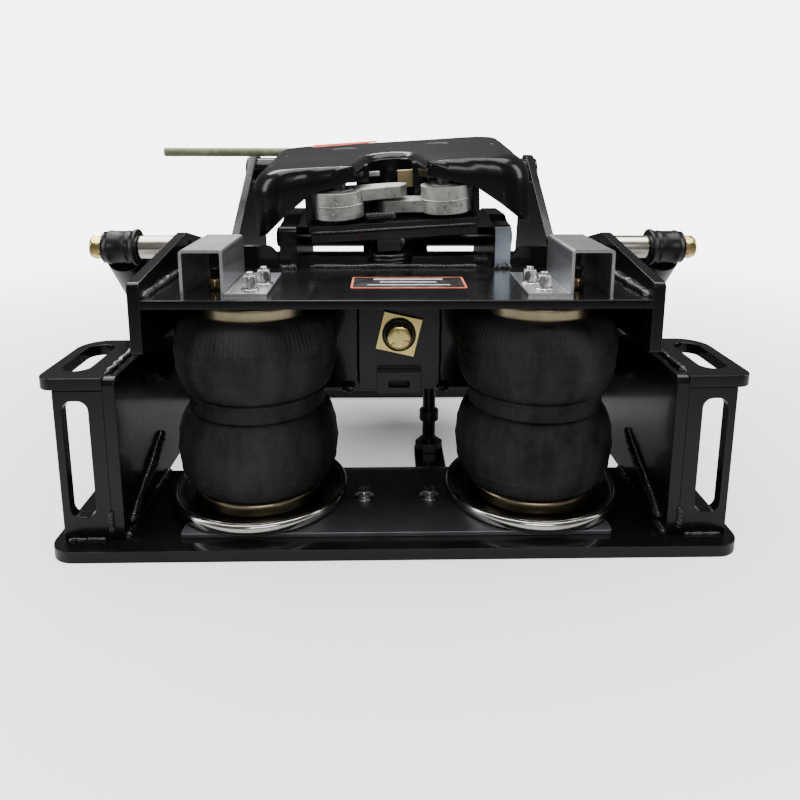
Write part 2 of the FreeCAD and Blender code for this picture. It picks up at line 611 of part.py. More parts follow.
def make_label():
    """A thin plain plate on top of the upper plate."""
    left, right, rear, front = dim("label_left"), dim("label_right"), dim("label_rear"), dim("label_front")
    outline = [(left, rear, 3), (right, rear, 3), (right, front, 3), (left, front, 3)]
    plate("label_plate", "XY_Plane", dim("upper_top"), "label_thick", [rounded(outline)])


def make_shock_bolts():
    """Top bolts screw into the rocking frame's sides, through a spacer and the shock's eye."""
    y, z = dim("shock_top_y"), dim("shock_top_z")
    inner = dim("rocker_inner_x")
    bolts, spacers = [], []
    for side_name, side in SIDES:
        axis = "X" if side > 0 else "-X"
        shank = rod(f"top_shank_{side_name}", (side * inner, y, z), axis, "shock_bolt_radius",
                    "bolt_end_x - rocker_inner_x")
        cap = hexagon(f"top_head_{side_name}", (side * (dim("bolt_end_x") - dim("shock_head")), y, z), axis,
                      "shock_hex", "shock_head")
        bolts.append(fuse(f"top_bolt_{side_name}", [shank, cap]))
        start = (side * (inner + thick), y, z)
        length = "shock_x - shock_eye_half - eye_gap - rocker_inner_x - plate_thick"
        outer = rod(f"spacer_outer_{side_name}", start, axis, "spacer_radius", length)
        bore = rod(f"spacer_bore_{side_name}", start, axis, "shock_bolt_radius", length)
        spacers.append(cut(f"spacer_{side_name}", outer, [bore]))
    group("shock_top_bolts", bolts)
    group("shock_spacers", spacers)


def make_shock_low_pins():
    y, z = dim("shock_low_y"), dim("shock_low_z")
    face = dim("side_inner_x") + thick
    eye_out = dim("shock_x") + dim("shock_eye_half")
    pins = []
    for side_name, side in SIDES:
        axis = "X" if side > 0 else "-X"
        shank = rod(f"low_shank_{side_name}", (side * face, y, z), axis, "shock_bolt_radius",
                    "bolt_end_x - side_inner_x - plate_thick - low_pin_short")
        shoulder = rod(f"low_shoulder_{side_name}", (side * face, y, z), axis, "shoulder_radius",
                       "shock_x - shock_eye_half - eye_gap - side_inner_x - plate_thick")
        nut = hexagon(f"low_nut_{side_name}", (side * (eye_out + dim("eye_gap")), y, z), axis, "shock_hex",
                      "shock_nut")
        pins.append(fuse(f"low_pin_{side_name}", [shank, shoulder, nut]))
    group("shock_low_pins", pins)


def make_shocks():
    """A rod and dust cover hang from the top bolt, and the damper body stands on the low pin."""
    top = Vector(0, dim("shock_top_y"), dim("shock_top_z"))
    low = Vector(0, dim("shock_low_y"), dim("shock_low_z"))
    span = (low - top).Length
    lean = Rotation(Vector(0, 0, 1), low - top)
    half = dim("shock_eye_half")
    start = dim("cover_start")
    for side_name, side in SIDES:
        across = Vector(side * dim("shock_x"), 0, 0)

        def along(name, start, radius, length):
            """A cylinder on the line between the eyes, from a distance below the top one."""
            feature = doc.addObject("Part::Cylinder", f"{name}_{side_name}")
            bind(feature, "Radius", radius)
            bind(feature, "Height", length)
            feature.Placement = Placement(across + top + lean.multVec(Vector(0, 0, start)), lean)
            return feature

        def eye(name, centre, radius):
            corner = (side * dim("shock_x") - half, centre.y, centre.z)
            return rod(f"{name}_{side_name}", corner, "X", radius, "2*shock_eye_half")

        length = "cover_end - cover_start"
        tube = along("cover_tube", start, "cover_radius", length)
        hollow = along("cover_hollow", start + dim("cover_cap"), "cover_bore", length)
        shell = cut(f"cover_shell_{side_name}", tube, [hollow])
        piston = along("piston_rod", start, "piston_radius", length + " + piston_reach")
        upper = fuse(f"cover_joined_{side_name}", [shell, piston, eye("top_eye", top, "shock_eye_radius")])
        bore = "shock_bolt_radius + running_gap"
        node(cut(f"shock_cover_{side_name}", upper, [eye("top_eye_bore", top, bore)]),
             f"shock_cover_{side_name}")
        first = dim("damper_start")
        barrel = fuse(f"body_joined_{side_name}",
                      [along("damper_body", first, "damper_radius", span - first - dim("damper_gap")),
                       eye("low_eye", low, "low_eye_radius")])
        node(cut(f"shock_body_{side_name}", barrel,
                 [along("rod_bore", first, "damper_bore", "damper_bore_depth"),
                  eye("low_eye_bore", low, bore)]),
             f"shock_body_{side_name}")


# ---------------------------------------------------------------- head, in its own tilted frame

PITCH = Rotation(Vector(1, 0, 0), dim("rest_pitch"))
ROLL = Rotation(Vector(0, 1, 0), dim("rest_roll"))
PIVOT = Vector(0, dim("pivot_y"), dim("pivot_z"))
TRUNNION_PLACE = Placement(PIVOT, PITCH)
HEAD_PLACE = Placement(PIVOT, PITCH.multiply(ROLL))


def tilt(feature, placement):
    """Stand a finished piece in a tilted frame."""
    feature.Placement = placement.multiply(feature.Placement)
    return feature


def make_trunnion():
    """The block that carries the roll pin, with a stub shaft through each head tower."""
    body = block("trunnion_body", ("-block_half_x", "-block_half_y", "-block_half_z"),
                 ("2*block_half_x", "2*block_half_y", "2*block_half_z"))
    stubs = rod("trunnion_stubs", (-dim("stub_end"), 0, 0), "X", "stub_radius", "2*stub_end")
    joined = fuse("trunnion_joined", [body, stubs])
    half = dim("block_half_y")
    bore = rod("trunnion_bore", (0, -half, 0), "Y", "stub_radius + running_gap", "2*block_half_y")
    tilt(node(cut("trunnion_block", joined, [bore]), "trunnion_block"), TRUNNION_PLACE)


def make_cradle():
    """The welded cradle under the head: bed, rear apron, coil finger, pin webs and side webs."""
    bed = block("bed", ("-bed_half_width", "bed_rear", "bed_top - bed_thick"),
                ("2*bed_half_width", "bed_front - bed_rear", "bed_thick"))
    apron = block("apron", ("-bed_half_width + side_web_lap", "bed_rear", "apron_low"),
                  ("2*bed_half_width - 2*side_web_lap", "apron_thick", "bed_top - bed_thick - apron_low"))
    finger = block("finger", ("coil_x - finger_width / 2", "bed_rear + finger_inset", 0),
                   ("finger_width", "finger_width", "bed_top - bed_thick"))
    pieces = [bed, apron, finger]
    for name, low in (("rear", "-pin_web_y - pin_web_thick"), ("front", "pin_web_y")):
        pieces.append(block(f"pin_web_{name}", ("-pin_web_half", low, "-block_half_z"),
                            ("2*pin_web_half", "pin_web_thick", "block_half_z + bed_top - bed_thick")))
    for name, low in (("left", "-bed_half_width + side_web_lap - side_web_thick"),
                      ("right", "bed_half_width - side_web_lap")):
        pieces.append(block(f"side_web_{name}", (low, "side_web_rear", "bed_top - bed_thick"),
                            ("side_web_thick", "side_web_front - side_web_rear",
                             "skid_top - skid_sheet - bed_top + bed_thick")))
    joined = fuse("cradle_joined", pieces)
    pin_end = dim("pin_web_y") + dim("pin_web_thick")
    length = "2*pin_web_y + 2*pin_web_thick"
    holes = [rod("roll_pin_hole", (0, -pin_end, 0), "Y", "stub_radius", length)]
    spots = {name: (side * dim("jaw_pin_x"), dim("jaw_pin_y"), dim("jaw_pin_low")) for name, side in SIDES}
    for side_name, spot in spots.items():
        holes.append(rod(f"jaw_pin_hole_{side_name}", spot, "Z", "jaw_pin_radius", "bed_top - jaw_pin_low"))
    tilt(node(cut("head_cradle", joined, holes), "head_cradle"), HEAD_PLACE)
    tilt(node(rod("roll_pin", (0, -pin_end, 0), "Y", "stub_radius", length), "roll_pin"), HEAD_PLACE)
    pins = [rod(f"jaw_pin_{side_name}", spot, "Z", "jaw_pin_radius", "jaw_pin_top - jaw_pin_low")
            for side_name, spot in spots.items()]
    tilt(group("jaw_pins", pins), HEAD_PLACE)


def throat_face(radius, mouth, rear):
    """The kingpin's way in, seen from above: a half circle ahead, splayed sides, open to the rear."""
    centre = dim("throat_y")
    wire = Part.Wire([
        Part.Arc(Vector(-radius, centre, 0), Vector(0, centre + radius, 0),
                 Vector(radius, centre, 0)).toShape(),
        Part.LineSegment(Vector(radius, centre, 0), Vector(mouth, rear, 0)).toShape(),
        Part.LineSegment(Vector(mouth, rear, 0), Vector(-mouth, rear, 0)).toShape(),
        Part.LineSegment(Vector(-mouth, rear, 0), Vector(-radius, centre, 0)).toShape(),
    ])
    return Part.Face(wire)


def tray(half_x, rear, front, top, corner, crown):
    """A block with rounded corners seen from above and a rounded top edge, down to the skirts' low edge."""
    low = dim("skid_skirt_bottom")
    corners = [(-half_x, rear, corner), (half_x, rear, corner), (half_x, front, corner),
               (-half_x, front, corner)]
    wire = Part.Wire([curve.toShape() for curve in rounded(corners)])
    solid = Part.Face(wire).extrude(Vector(0, 0, top - low))
    rim = [edge for edge in solid.Edges if min(vertex.Z for vertex in edge.Vertexes) > top - low - 1e-3]
    solid = solid.makeFillet(crown, rim)
    solid.translate(Vector(0, 0, low))
    return solid


RAMP = [(43, 86), (95, 73.5), (162, 22)]
SKIRT = [(-12, 22), (58, 74), (209, 78)]
SKID_HOLES = [(141, 72), (158, 70)]


def make_skid_plate():
    """A pressed plate: flat top, rounded shoulders, skirts that hang lowest at the rear corners.

    RAMP is the rear skirt's low edge as (across, height), and SKIRT the side skirts' as (along, height).
    """
    half_x, rear, front = dim("skid_half_width"), dim("skid_rear"), dim("skid_front")
    top, skin, low = dim("skid_top"), dim("skid_sheet"), dim("skid_skirt_bottom")
    corner, crown = dim("skid_corner"), dim("skid_crown")
    shell = tray(half_x, rear, front, top, corner, crown)
    hollow = tray(half_x - skin, rear + skin, front - skin, top - skin, corner - skin, crown - skin)
    shell = shell.cut(hollow)
    throat = throat_face(dim("throat_radius"), dim("throat_mouth"), rear - 10)
    shell = shell.cut(throat.extrude(Vector(0, 0, 2 * top)))
    under, beyond = low - 5, half_x + 10
    skirt_line = [Vector(0, y, z) for y, z in SKIRT] + [Vector(0, SKIRT[-1][0], under),
                                                      Vector(0, SKIRT[0][0], under)]
    side_cut = Part.Face(Part.makePolygon(skirt_line + skirt_line[:1]))
    shell = shell.cut(side_cut.extrude(Vector(2 * beyond, 0, 0)).translated(Vector(-beyond, 0, 0)))
    start = rear - 9
    right = [Vector(x, start, z) for x, z in RAMP] + [Vector(RAMP[-1][0], start, under)]
    left = [Vector(-point.x, start, point.z) for point in reversed(right)]
    ramp_cut = Part.Face(Part.makePolygon(left + right + left[:1]))
    shell = shell.cut(ramp_cut.extrude(Vector(0, 40, 0)))
    for _, side in SIDES:
        for x, y in SKID_HOLES:
            shell = shell.cut(Part.makeCylinder(dim("skid_hole_radius"), 20, Vector(side * x, y, top - 15)))
    feature = doc.addObject("Part::Feature", "skid_plate")
    feature.Shape = shell
    tilt(node(feature, "skid_plate"), HEAD_PLACE)


def make_saddle():
    """The bare wear block round the throat that the kingpin seats against."""
    radius, half = dim("throat_radius"), dim("saddle_half")
    rear, front = dim("saddle_rear"), dim("saddle_front")
    outer = [(-half, rear, 4), (-half, front, 30), (half, front, 30), (half, rear, 4)]
    face = Part.Face(Part.Wire([curve.toShape() for curve in rounded(outer)]))
    height = dim("skid_top") - dim("skid_sheet") - dim("bed_top")
    solid = face.extrude(Vector(0, 0, height))
    solid = solid.cut(throat_face(radius, radius, 2 * rear).extrude(Vector(0, 0, height)))
    solid.translate(Vector(0, 0, dim("bed_top")))
    feature = doc.addObject("Part::Feature", "kingpin_saddle")
    feature.Shape = solid
    tilt(node(feature, "kingpin_saddle"), HEAD_PLACE)


def make_jaws():
    """Each jaw is a round boss on its pin with an arm across the throat, one above the other."""
    pin_x, pin_y, bottom = dim("jaw_pin_x"), dim("jaw_pin_y"), dim("jaw_bottom")
    upper = bottom + dim("jaw_thick") - dim("jaw_arm_thick")
    arm = [(-20, -16, 4), (76, 4, 8), (84, 24, 8), (70, 33, 8), (20, 31, 10), (-20, 20, 4)]
    for side_name, side in SIDES:
        centre = (side * pin_x, pin_y)
        low = upper if side < 0 else bottom
        boss = rod(f"jaw_boss_{side_name}", (*centre, bottom), "Z", "jaw_boss_radius", "jaw_thick")
        outline = [(side * (pin_x - x), pin_y + y, radius) for x, y, radius in arm]
        bar = plate(f"jaw_arm_{side_name}", "XY_Plane", low, "jaw_arm_thick", [rounded(outline)], False)
        joined = fuse(f"jaw_joined_{side_name}", [boss, bar])
        bore = rod(f"jaw_bore_{side_name}", (*centre, bottom), "Z", "jaw_pin_radius + running_gap",
                   "jaw_thick")
        notch = block(f"jaw_notch_{side_name}",
                      (centre[0] - dim("jaw_notch_width") / 2, "jaw_pin_y + jaw_notch_in", "jaw_bottom"),
                      ("jaw_notch_width", "jaw_notch_deep", "jaw_thick"))
        tilt(node(cut(f"jaw_{side_name}", joined, [bore, notch]), f"jaw_{side_name}"), HEAD_PLACE)


def make_lock():
    """A fork whose prongs seat in the jaws, and the pull handle whose cam plate moves it."""
    low, deep, pin_x, peg_y = dim("fork_low"), dim("fork_thick"), dim("jaw_pin_x"), dim("peg_y")
    prong, bridge, stem = dim("fork_prong"), dim("fork_bridge"), dim("fork_stem")
    tip, rail = dim("jaw_pin_y") + dim("fork_tip"), bridge - dim("fork_rail")
    right = [(pin_x - prong, tip, 2), (pin_x + prong, tip, 2), (pin_x + prong, bridge, 6),
             (stem, bridge, 4), (stem, peg_y + 10, 4)]
    left = [(-x, y, radius) for x, y, radius in reversed(right)]
    inside = [(-pin_x + prong, rail, 6), (pin_x - prong, rail, 6)]
    bar = plate("fork_bar", "XY_Plane", low, "fork_thick", [rounded(right + left + inside)], False)
    peg = rod("fork_peg", (0, peg_y, low + deep), "Z", "peg_radius", "peg_length")
    tilt(node(fuse("lock_fork", [bar, peg]), "lock_fork"), HEAD_PLACE)

    cam_low = low + deep + dim("cam_gap")
    travel = Vector(dim("handle_travel"), dim("lock_travel"), 0)
    angle = math.degrees(math.atan2(travel.y, travel.x))
    middle = Vector(0, peg_y, 0) + travel * 0.5
    radius = dim("cam_slot_radius")
    opening = slot(middle.x, middle.y, travel.Length / 2 + radius, radius, angle)
    outline = [(-14, 112, 6), (104, 140, 6), (104, 177, 6), (-14, 177, 6)]
    cam = plate("cam_plate", "XY_Plane", cam_low, "cam_thick", [rounded(outline), opening], False)
    reach = dim("handle_y")
    middle_height = cam_low + dim("cam_thick") / 2
    path = [Vector(-8, 170, middle_height), Vector(-50, reach, middle_height), Vector(-95, reach, 88),
            Vector(dim("handle_end"), reach, 103.5)]
    runs = []
    for i, (start, end) in enumerate(zip(path, path[1:])):
        run = doc.addObject("Part::Cylinder", f"handle_run_{i}")
        bind(run, "Radius", "handle_radius")
        run.Height = (end - start).Length
        run.Placement = Placement(start, Rotation(Vector(0, 0, 1), end - start))
        knuckle = doc.addObject("Part::Sphere", f"handle_knuckle_{i}")
        bind(knuckle, "Radius", "handle_radius")
        knuckle.Placement = Placement(start, Rotation())
        runs += [run, knuckle]
    tilt(node(fuse("release_handle", [cam] + runs), "release_handle"), HEAD_PLACE)


def make_head_spring():
    """The coil that holds the head's rear up, as a ring of its outer size."""
    spot = (dim("coil_x"), dim("coil_y"), dim("coil_low"))
    outer = rod("coil_outer", spot, "Z", "coil_radius", "coil_top - coil_low")
    inner = rod("coil_inner", spot, "Z", "coil_bore", "coil_top - coil_low")
    node(cut("head_spring", outer, [inner]), "head_spring")


make_base_plates()
make_side_plates()
make_corner_boxes()
make_front_towers()
make_pivot_shafts()
make_spring_seats()
make_air_springs()
make_limit_rod()
make_rocker_frame()
make_pivot_bushings()
make_channels()
make_centre_bolt()
make_label()
make_shock_bolts()
make_shock_low_pins()
make_shocks()
make_trunnion()
make_cradle()
make_skid_plate()
make_saddle()
make_jaws()
make_lock()
make_head_spring()

doc.recompute()

# ---------------------------------------------------------------- check, then write

for feature in doc.Objects:
    if "Invalid" in feature.State or "Error" in feature.State:
        raise RuntimeError(f"{feature.Label} failed: {feature.State}")
for feature in NODES:
    if feature.Shape.isNull() or not feature.Shape.isValid() or not feature.Shape.Solids:
        raise RuntimeError(f"{feature.Label} has no sound shape")

os.makedirs("parts", exist_ok=True)
for feature in NODES:
    feature.Shape.exportStep(f"parts/{feature.Label}.step")
print(len(NODES), "sub-parts written")
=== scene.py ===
"""The looks of an air-ride fifth wheel hitch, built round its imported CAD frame.

Lengths are metres in the frame's own axes: +X right, +Y forward, +Z up, floor at zero.
"""

import json
import math

import bmesh
import bpy
import numpy as np
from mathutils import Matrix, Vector

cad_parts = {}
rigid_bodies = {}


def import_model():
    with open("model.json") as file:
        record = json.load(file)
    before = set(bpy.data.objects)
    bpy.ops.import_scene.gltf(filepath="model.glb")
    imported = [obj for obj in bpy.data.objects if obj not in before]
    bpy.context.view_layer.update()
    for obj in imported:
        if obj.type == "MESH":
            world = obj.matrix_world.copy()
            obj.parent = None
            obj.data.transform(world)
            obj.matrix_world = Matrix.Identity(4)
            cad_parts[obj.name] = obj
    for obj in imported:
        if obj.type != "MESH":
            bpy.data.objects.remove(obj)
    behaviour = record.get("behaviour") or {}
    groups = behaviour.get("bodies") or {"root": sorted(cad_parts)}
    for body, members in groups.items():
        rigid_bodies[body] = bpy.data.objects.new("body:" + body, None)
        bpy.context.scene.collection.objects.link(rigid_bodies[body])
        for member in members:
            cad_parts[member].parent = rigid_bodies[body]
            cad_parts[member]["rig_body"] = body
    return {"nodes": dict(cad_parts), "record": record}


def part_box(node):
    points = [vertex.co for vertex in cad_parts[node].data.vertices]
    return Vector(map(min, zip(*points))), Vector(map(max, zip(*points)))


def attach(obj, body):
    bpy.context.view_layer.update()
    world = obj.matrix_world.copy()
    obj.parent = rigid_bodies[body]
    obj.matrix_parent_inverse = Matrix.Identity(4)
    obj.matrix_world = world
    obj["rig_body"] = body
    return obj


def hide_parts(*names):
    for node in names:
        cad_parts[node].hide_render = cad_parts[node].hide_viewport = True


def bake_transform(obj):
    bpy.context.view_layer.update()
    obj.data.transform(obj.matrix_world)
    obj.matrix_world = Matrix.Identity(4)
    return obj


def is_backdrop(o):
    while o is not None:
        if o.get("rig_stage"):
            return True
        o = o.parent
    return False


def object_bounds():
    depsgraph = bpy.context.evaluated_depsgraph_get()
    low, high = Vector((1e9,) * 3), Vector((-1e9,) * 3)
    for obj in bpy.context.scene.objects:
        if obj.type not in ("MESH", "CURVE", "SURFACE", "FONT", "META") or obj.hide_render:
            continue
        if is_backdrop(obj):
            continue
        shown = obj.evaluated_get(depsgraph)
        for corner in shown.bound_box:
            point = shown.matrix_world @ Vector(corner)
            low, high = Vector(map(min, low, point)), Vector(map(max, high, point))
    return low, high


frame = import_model()
CAD_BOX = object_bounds()
MM = 0.001
TURN = 2 * math.pi
UP = (0, 0, 1)


# ---------------------------------------------------------------- camera, floor and light

def make_camera():
    """A hand-held view from behind and a little above, 32 mm lens."""
    data = bpy.data.cameras.new("camera")
    data.sensor_width = 36
    data.lens = 31.9
    data.shift_y = -0.1625
    camera = bpy.data.objects.new("camera", data)
    bpy.context.scene.collection.objects.link(camera)
    camera.location = (-0.0134, -0.9645, 0.4125)
    pitch_down, turn_left, lean = 0.1947, -0.0226, 0.003
    camera.rotation_euler = (math.pi / 2 - pitch_down, 0, turn_left)
    camera.rotation_euler.rotate_axis("Z", lean)
    bpy.context.scene.camera = camera


def make_area(name, spot, aim, size, power):
    """A rectangular light at a spot, turned to face a point."""
    data = bpy.data.lights.new(name, "AREA")
    data.shape = "RECTANGLE"
    data.size, data.size_y = size
    data.energy = power
    lamp = bpy.data.objects.new(name, data)
    bpy.context.scene.collection.objects.link(lamp)
    lamp.location = spot
    lamp.rotation_euler = (Vector(aim) - Vector(spot)).to_track_quat("-Z", "Y").to_euler()


def make_lights():
    """Two overhead panels, a low front fill and two side strips that draw the black edges."""
    make_area("overhead", (0, -0.1, 1.9), (0, 0, 0.2), (2.4, 1.4), 62)
    make_area("ceiling_strip", (-0.5, 0.9, 1.5), (0, 0, 0.35), (1.6, 0.35), 26)
    make_area("front_fill", (0.2, -2.2, 1.1), (0, -0.2, 0.15), (1.2, 0.5), 13)
    make_area("left_strip", (-1.7, -0.5, 0.8), (0, 0, 0.2), (0.5, 1.2), 12)
    make_area("right_strip", (1.7, -0.3, 0.9), (0, 0, 0.2), (0.5, 1.2), 12)
    world = bpy.data.worlds.new("studio")
    world.use_nodes = True
    tree = world.node_tree
    backdrop = tree.nodes["Background"]
    backdrop.inputs["Color"].default_value = (1, 1, 1, 1)
    backdrop.inputs["Strength"].default_value = 6.0
    dim_room = tree.nodes.new("ShaderNodeBackground")
    dim_room.inputs["Color"].default_value = (1, 1, 1, 1)
    dim_room.inputs["Strength"].default_value = 0.12
    seen = tree.nodes.new("ShaderNodeLightPath")
    mix = tree.nodes.new("ShaderNodeMixShader")
    tree.links.new(seen.outputs["Is Camera Ray"], mix.inputs[0])
    tree.links.new(dim_room.outputs[0], mix.inputs[1])
    tree.links.new(backdrop.outputs[0], mix.inputs[2])
    tree.links.new(mix.outputs[0], tree.nodes["World Output"].inputs["Surface"])
    bpy.context.scene.world = world


# ---------------------------------------------------------------- shader maths

class Value:
    """A shader socket that adds Math nodes when it is used in an expression."""

    def __init__(self, tree, socket):
        self.tree = tree
        self.socket = socket

    def math(self, operation, left, right):
        unit = self.tree.nodes.new("ShaderNodeMath")
        unit.operation = operation
        for slot, item in zip(unit.inputs, (left, right)):
            if isinstance(item, Value):
                self.tree.links.new(item.socket, slot)
            else:
                slot.default_value = item
        return Value(self.tree, unit.outputs[0])

    def __add__(self, other):
        return self.math("ADD", self, other)

    def __sub__(self, other):
        return self.math("SUBTRACT", self, other)

    def __mul__(self, other):
        return self.math("MULTIPLY", self, other)

    def __rsub__(self, other):
        return self.math("SUBTRACT", other, self)

    def above(self, level, softness):
        """0 below the level, 1 above it, with a soft step between."""
        steep = (self - level) * (1 / softness) + 0.5
        return steep.math("MINIMUM", steep.math("MAXIMUM", steep, 0.0), 1.0)


class Finish:
    """A material with one Principled shader, and short calls for what feeds it."""

    def __init__(self, name, colour, roughness, metallic=0.0, **extra):
        self.material = bpy.data.materials.new(name)
        self.material.use_nodes = True
        self.tree = self.material.node_tree
        self.shader = self.tree.nodes["Principled BSDF"]
        self.shader.inputs["Base Color"].default_value = (*colour, 1)
        self.shader.inputs["Roughness"].default_value = roughness
        self.shader.inputs["Metallic"].default_value = metallic
        for socket, value in extra.items():
            self.shader.inputs[socket.replace("_", " ")].default_value = value
        self.material.diffuse_color = (*colour, 1)

    def node(self, kind, settings=None, output=0, **inputs):
        """Any node: its settings, then the values or links of its sockets, by name or as i and a number."""
        unit = self.tree.nodes.new(kind)
        for key, value in (settings or {}).items():
            setattr(unit, key, value)
        for key, value in inputs.items():
            slot = unit.inputs[int(key[1:]) if key[1:].isdigit() else key.replace("_", " ")]
            if isinstance(value, Value):
                self.tree.links.new(value.socket, slot)
            else:
                slot.default_value = value
        return Value(self.tree, unit.outputs[output])

    def place(self, stretch):
        """Object coordinates, scaled by three factors."""
        unit = self.tree.nodes.new("ShaderNodeTexCoord")
        coordinates = Value(self.tree, unit.outputs["Object"])
        return self.node("ShaderNodeMapping", Vector=coordinates, Scale=stretch)

    def noise(self, scale, detail, stretch=(1, 1, 1), roughness=0.55):
        """A noise texture over object coordinates."""
        return self.node("ShaderNodeTexNoise", Vector=self.place(stretch), Scale=scale, Detail=detail,
                         Roughness=roughness)

    def blend(self, factor, first, second):
        """A colour between two others. Each is a colour or a link."""
        def colour(item):
            return item if isinstance(item, Value) else (*item, 1)
        return self.node("ShaderNodeMix", {"data_type": "RGBA"}, 2, i0=factor, i6=colour(first),
                         i7=colour(second))

    def feed(self, socket, value):
        self.tree.links.new(value.socket, self.shader.inputs[socket])

    def bump(self, height, strength, depth):
        self.feed("Normal", self.node("ShaderNodeBump", Height=height, Strength=strength, Distance=depth))


# ---------------------------------------------------------------- finishes

def powder_coat(name="black powder coat", peel=0.05, base=0.0045):
    """Glossy black with fine orange peel, faint dust and a few dull hand marks."""
    coat = Finish(name, (base, base, base * 1.25), 0.24, Coat_Weight=0.22, Coat_Roughness=0.07,
                  Specular_IOR_Level=0.22)
    marks = coat.noise(9, 6)
    dust = coat.noise(160, 8, roughness=0.8).above(0.66, 0.12)
    coat.feed("Roughness", marks * 0.22 + dust * 0.22 + 0.12)
    coat.feed("Base Color", coat.blend(dust * 0.35, (base, base, base * 1.25), (0.03, 0.03, 0.031)))
    coat.bump(coat.noise(420, 2), peel, 0.0006)
    return coat.material


def weld_coat():
    """Powder coat over a weld: the same black, with spatter in its surface."""
    coat = Finish("coated weld bead", (0.007, 0.007, 0.008), 0.2, Coat_Weight=0.5, Coat_Roughness=0.05,
                  Specular_IOR_Level=0.35)
    coat.feed("Roughness", coat.noise(300, 5) * 0.3 + 0.1)
    coat.bump(coat.noise(700, 5), 0.5, 0.0008)
    return coat.material


def bellows_rubber():
    """Dull black rubber with a grey bloom, rubbed darker in patches, and faint mould dirt."""
    rubber = Finish("bellows rubber", (0.015, 0.015, 0.016), 0.62, Specular_IOR_Level=0.16)
    bloom = rubber.noise(14, 8, (1, 1, 0.6), 0.65)
    streaks = rubber.noise(60, 6, (1, 1, 0.18), 0.7)
    speck = rubber.noise(650, 3).above(0.68, 0.1)
    tone = bloom * 0.95 + streaks * 0.35 - 0.12
    grey = rubber.blend(tone.above(0.52, 0.24), (0.007, 0.007, 0.0075), (0.031, 0.031, 0.032))
    rubber.feed("Base Color", rubber.blend(speck * 0.4, grey, (0.06, 0.06, 0.062)))
    rubber.feed("Roughness", tone * 0.25 + 0.42)
    rubber.bump(rubber.noise(900, 4) + streaks * 0.8, 0.3, 0.0008)
    return rubber.material


def soft_rubber():
    """Finely grained dull black, for the shock eyes."""
    rubber = Finish("bush rubber", (0.007, 0.007, 0.0075), 0.4, Specular_IOR_Level=0.3)
    rubber.feed("Roughness", rubber.noise(80, 5) * 0.3 + 0.2)
    rubber.bump(rubber.noise(600, 4), 0.2, 0.0006)
    return rubber.material


def metal(name, colour, roughness, grain, scale, spread, depth, stain=None):
    """Bare metal: a grain stretched one way in roughness and bump, and soft stains in its colour."""
    steel = Finish(name, colour, roughness, 1.0)
    lines = steel.noise(scale, 6, grain, 0.6)
    cloud = steel.noise(22, 5)
    steel.feed("Roughness", lines * spread + cloud * spread * 0.5 + (roughness - spread * 0.7))
    darker = stain or tuple(channel * 0.72 for channel in colour)
    steel.feed("Base Color", steel.blend(cloud.above(0.52, 0.3), colour, darker))
    steel.bump(lines, depth, 0.0004)
    return steel.material


def yellow_zinc():
    """Chromate over zinc: gold that drifts to green and rose, brighter where rubbed."""
    plating = Finish("yellow zinc plate", (0.7, 0.56, 0.2), 0.28, 1.0)
    drift = plating.noise(38, 3)
    other = plating.noise(61, 4, (1.3, 1, 0.8))
    warm = plating.blend(drift.above(0.5, 0.3), (0.78, 0.6, 0.22), (0.55, 0.56, 0.2))
    plating.feed("Base Color", plating.blend(other.above(0.58, 0.25), warm, (0.72, 0.42, 0.24)))
    plating.feed("Roughness", other * 0.25 + 0.16)
    plating.bump(plating.noise(500, 4), 0.12, 0.0004)
    return plating.material


def cast_steel():
    """Galvanised rough casting: pale grey spangle, darker pits, sandy surface."""
    cast = Finish("galvanised casting", (0.5, 0.5, 0.48), 0.5, 0.85)
    sand = cast.noise(330, 8, roughness=0.7)
    cloud = cast.noise(48, 6)
    pits = cast.noise(170, 5).above(0.62, 0.12)
    tone = cast.blend(cloud.above(0.5, 0.3), (0.62, 0.62, 0.59), (0.36, 0.365, 0.35))
    cast.feed("Base Color", cast.blend(pits * 0.6, tone, (0.17, 0.165, 0.15)))
    cast.feed("Roughness", sand * 0.35 + 0.3)
    cast.bump(sand + pits * -0.4 + cloud * 0.6, 0.55, 0.0012)
    return cast.material


def paint(name, colour, roughness):
    """Plain satin paint with a little wear."""
    coat = Finish(name, colour, roughness, Coat_Weight=0.15)
    wear = coat.noise(70, 6)
    worn = tuple(min(1, channel * 1.5 + 0.03) for channel in colour)
    coat.feed("Base Color", coat.blend(wear.above(0.6, 0.2), colour, worn))
    coat.feed("Roughness", wear * 0.3 + (roughness - 0.15))
    coat.bump(coat.noise(380, 3), 0.1, 0.0005)
    return coat.material


def floor_paint():
    """Pale and matt. Seen directly, it fades with distance into the bright room."""
    floor = Finish("pale floor", (0.88, 0.88, 0.88), 0.8)
    floor.feed("Roughness", floor.noise(6, 4) * 0.15 + 0.7)
    near = floor.node("ShaderNodeTexGradient", {"gradient_type": "SPHERICAL"}, 1,
                      Vector=floor.place((0.2, 0.2, 0.2)))
    close = near.above(0.84, 0.32)
    floor.feed("Base Color", floor.blend(close, (0.06, 0.06, 0.06), (0.88, 0.88, 0.88)))
    far = floor.node("ShaderNodeLightPath") * (1 - close)
    glow = floor.node("ShaderNodeEmission", Color=(1, 1, 1, 1), Strength=6.0)
    mix = floor.node("ShaderNodeMixShader", i0=far, i2=glow)
    floor.tree.links.new(floor.shader.outputs[0], mix.socket.node.inputs[1])
    floor.tree.links.new(mix.socket, floor.tree.nodes["Material Output"].inputs["Surface"])
    return floor.material


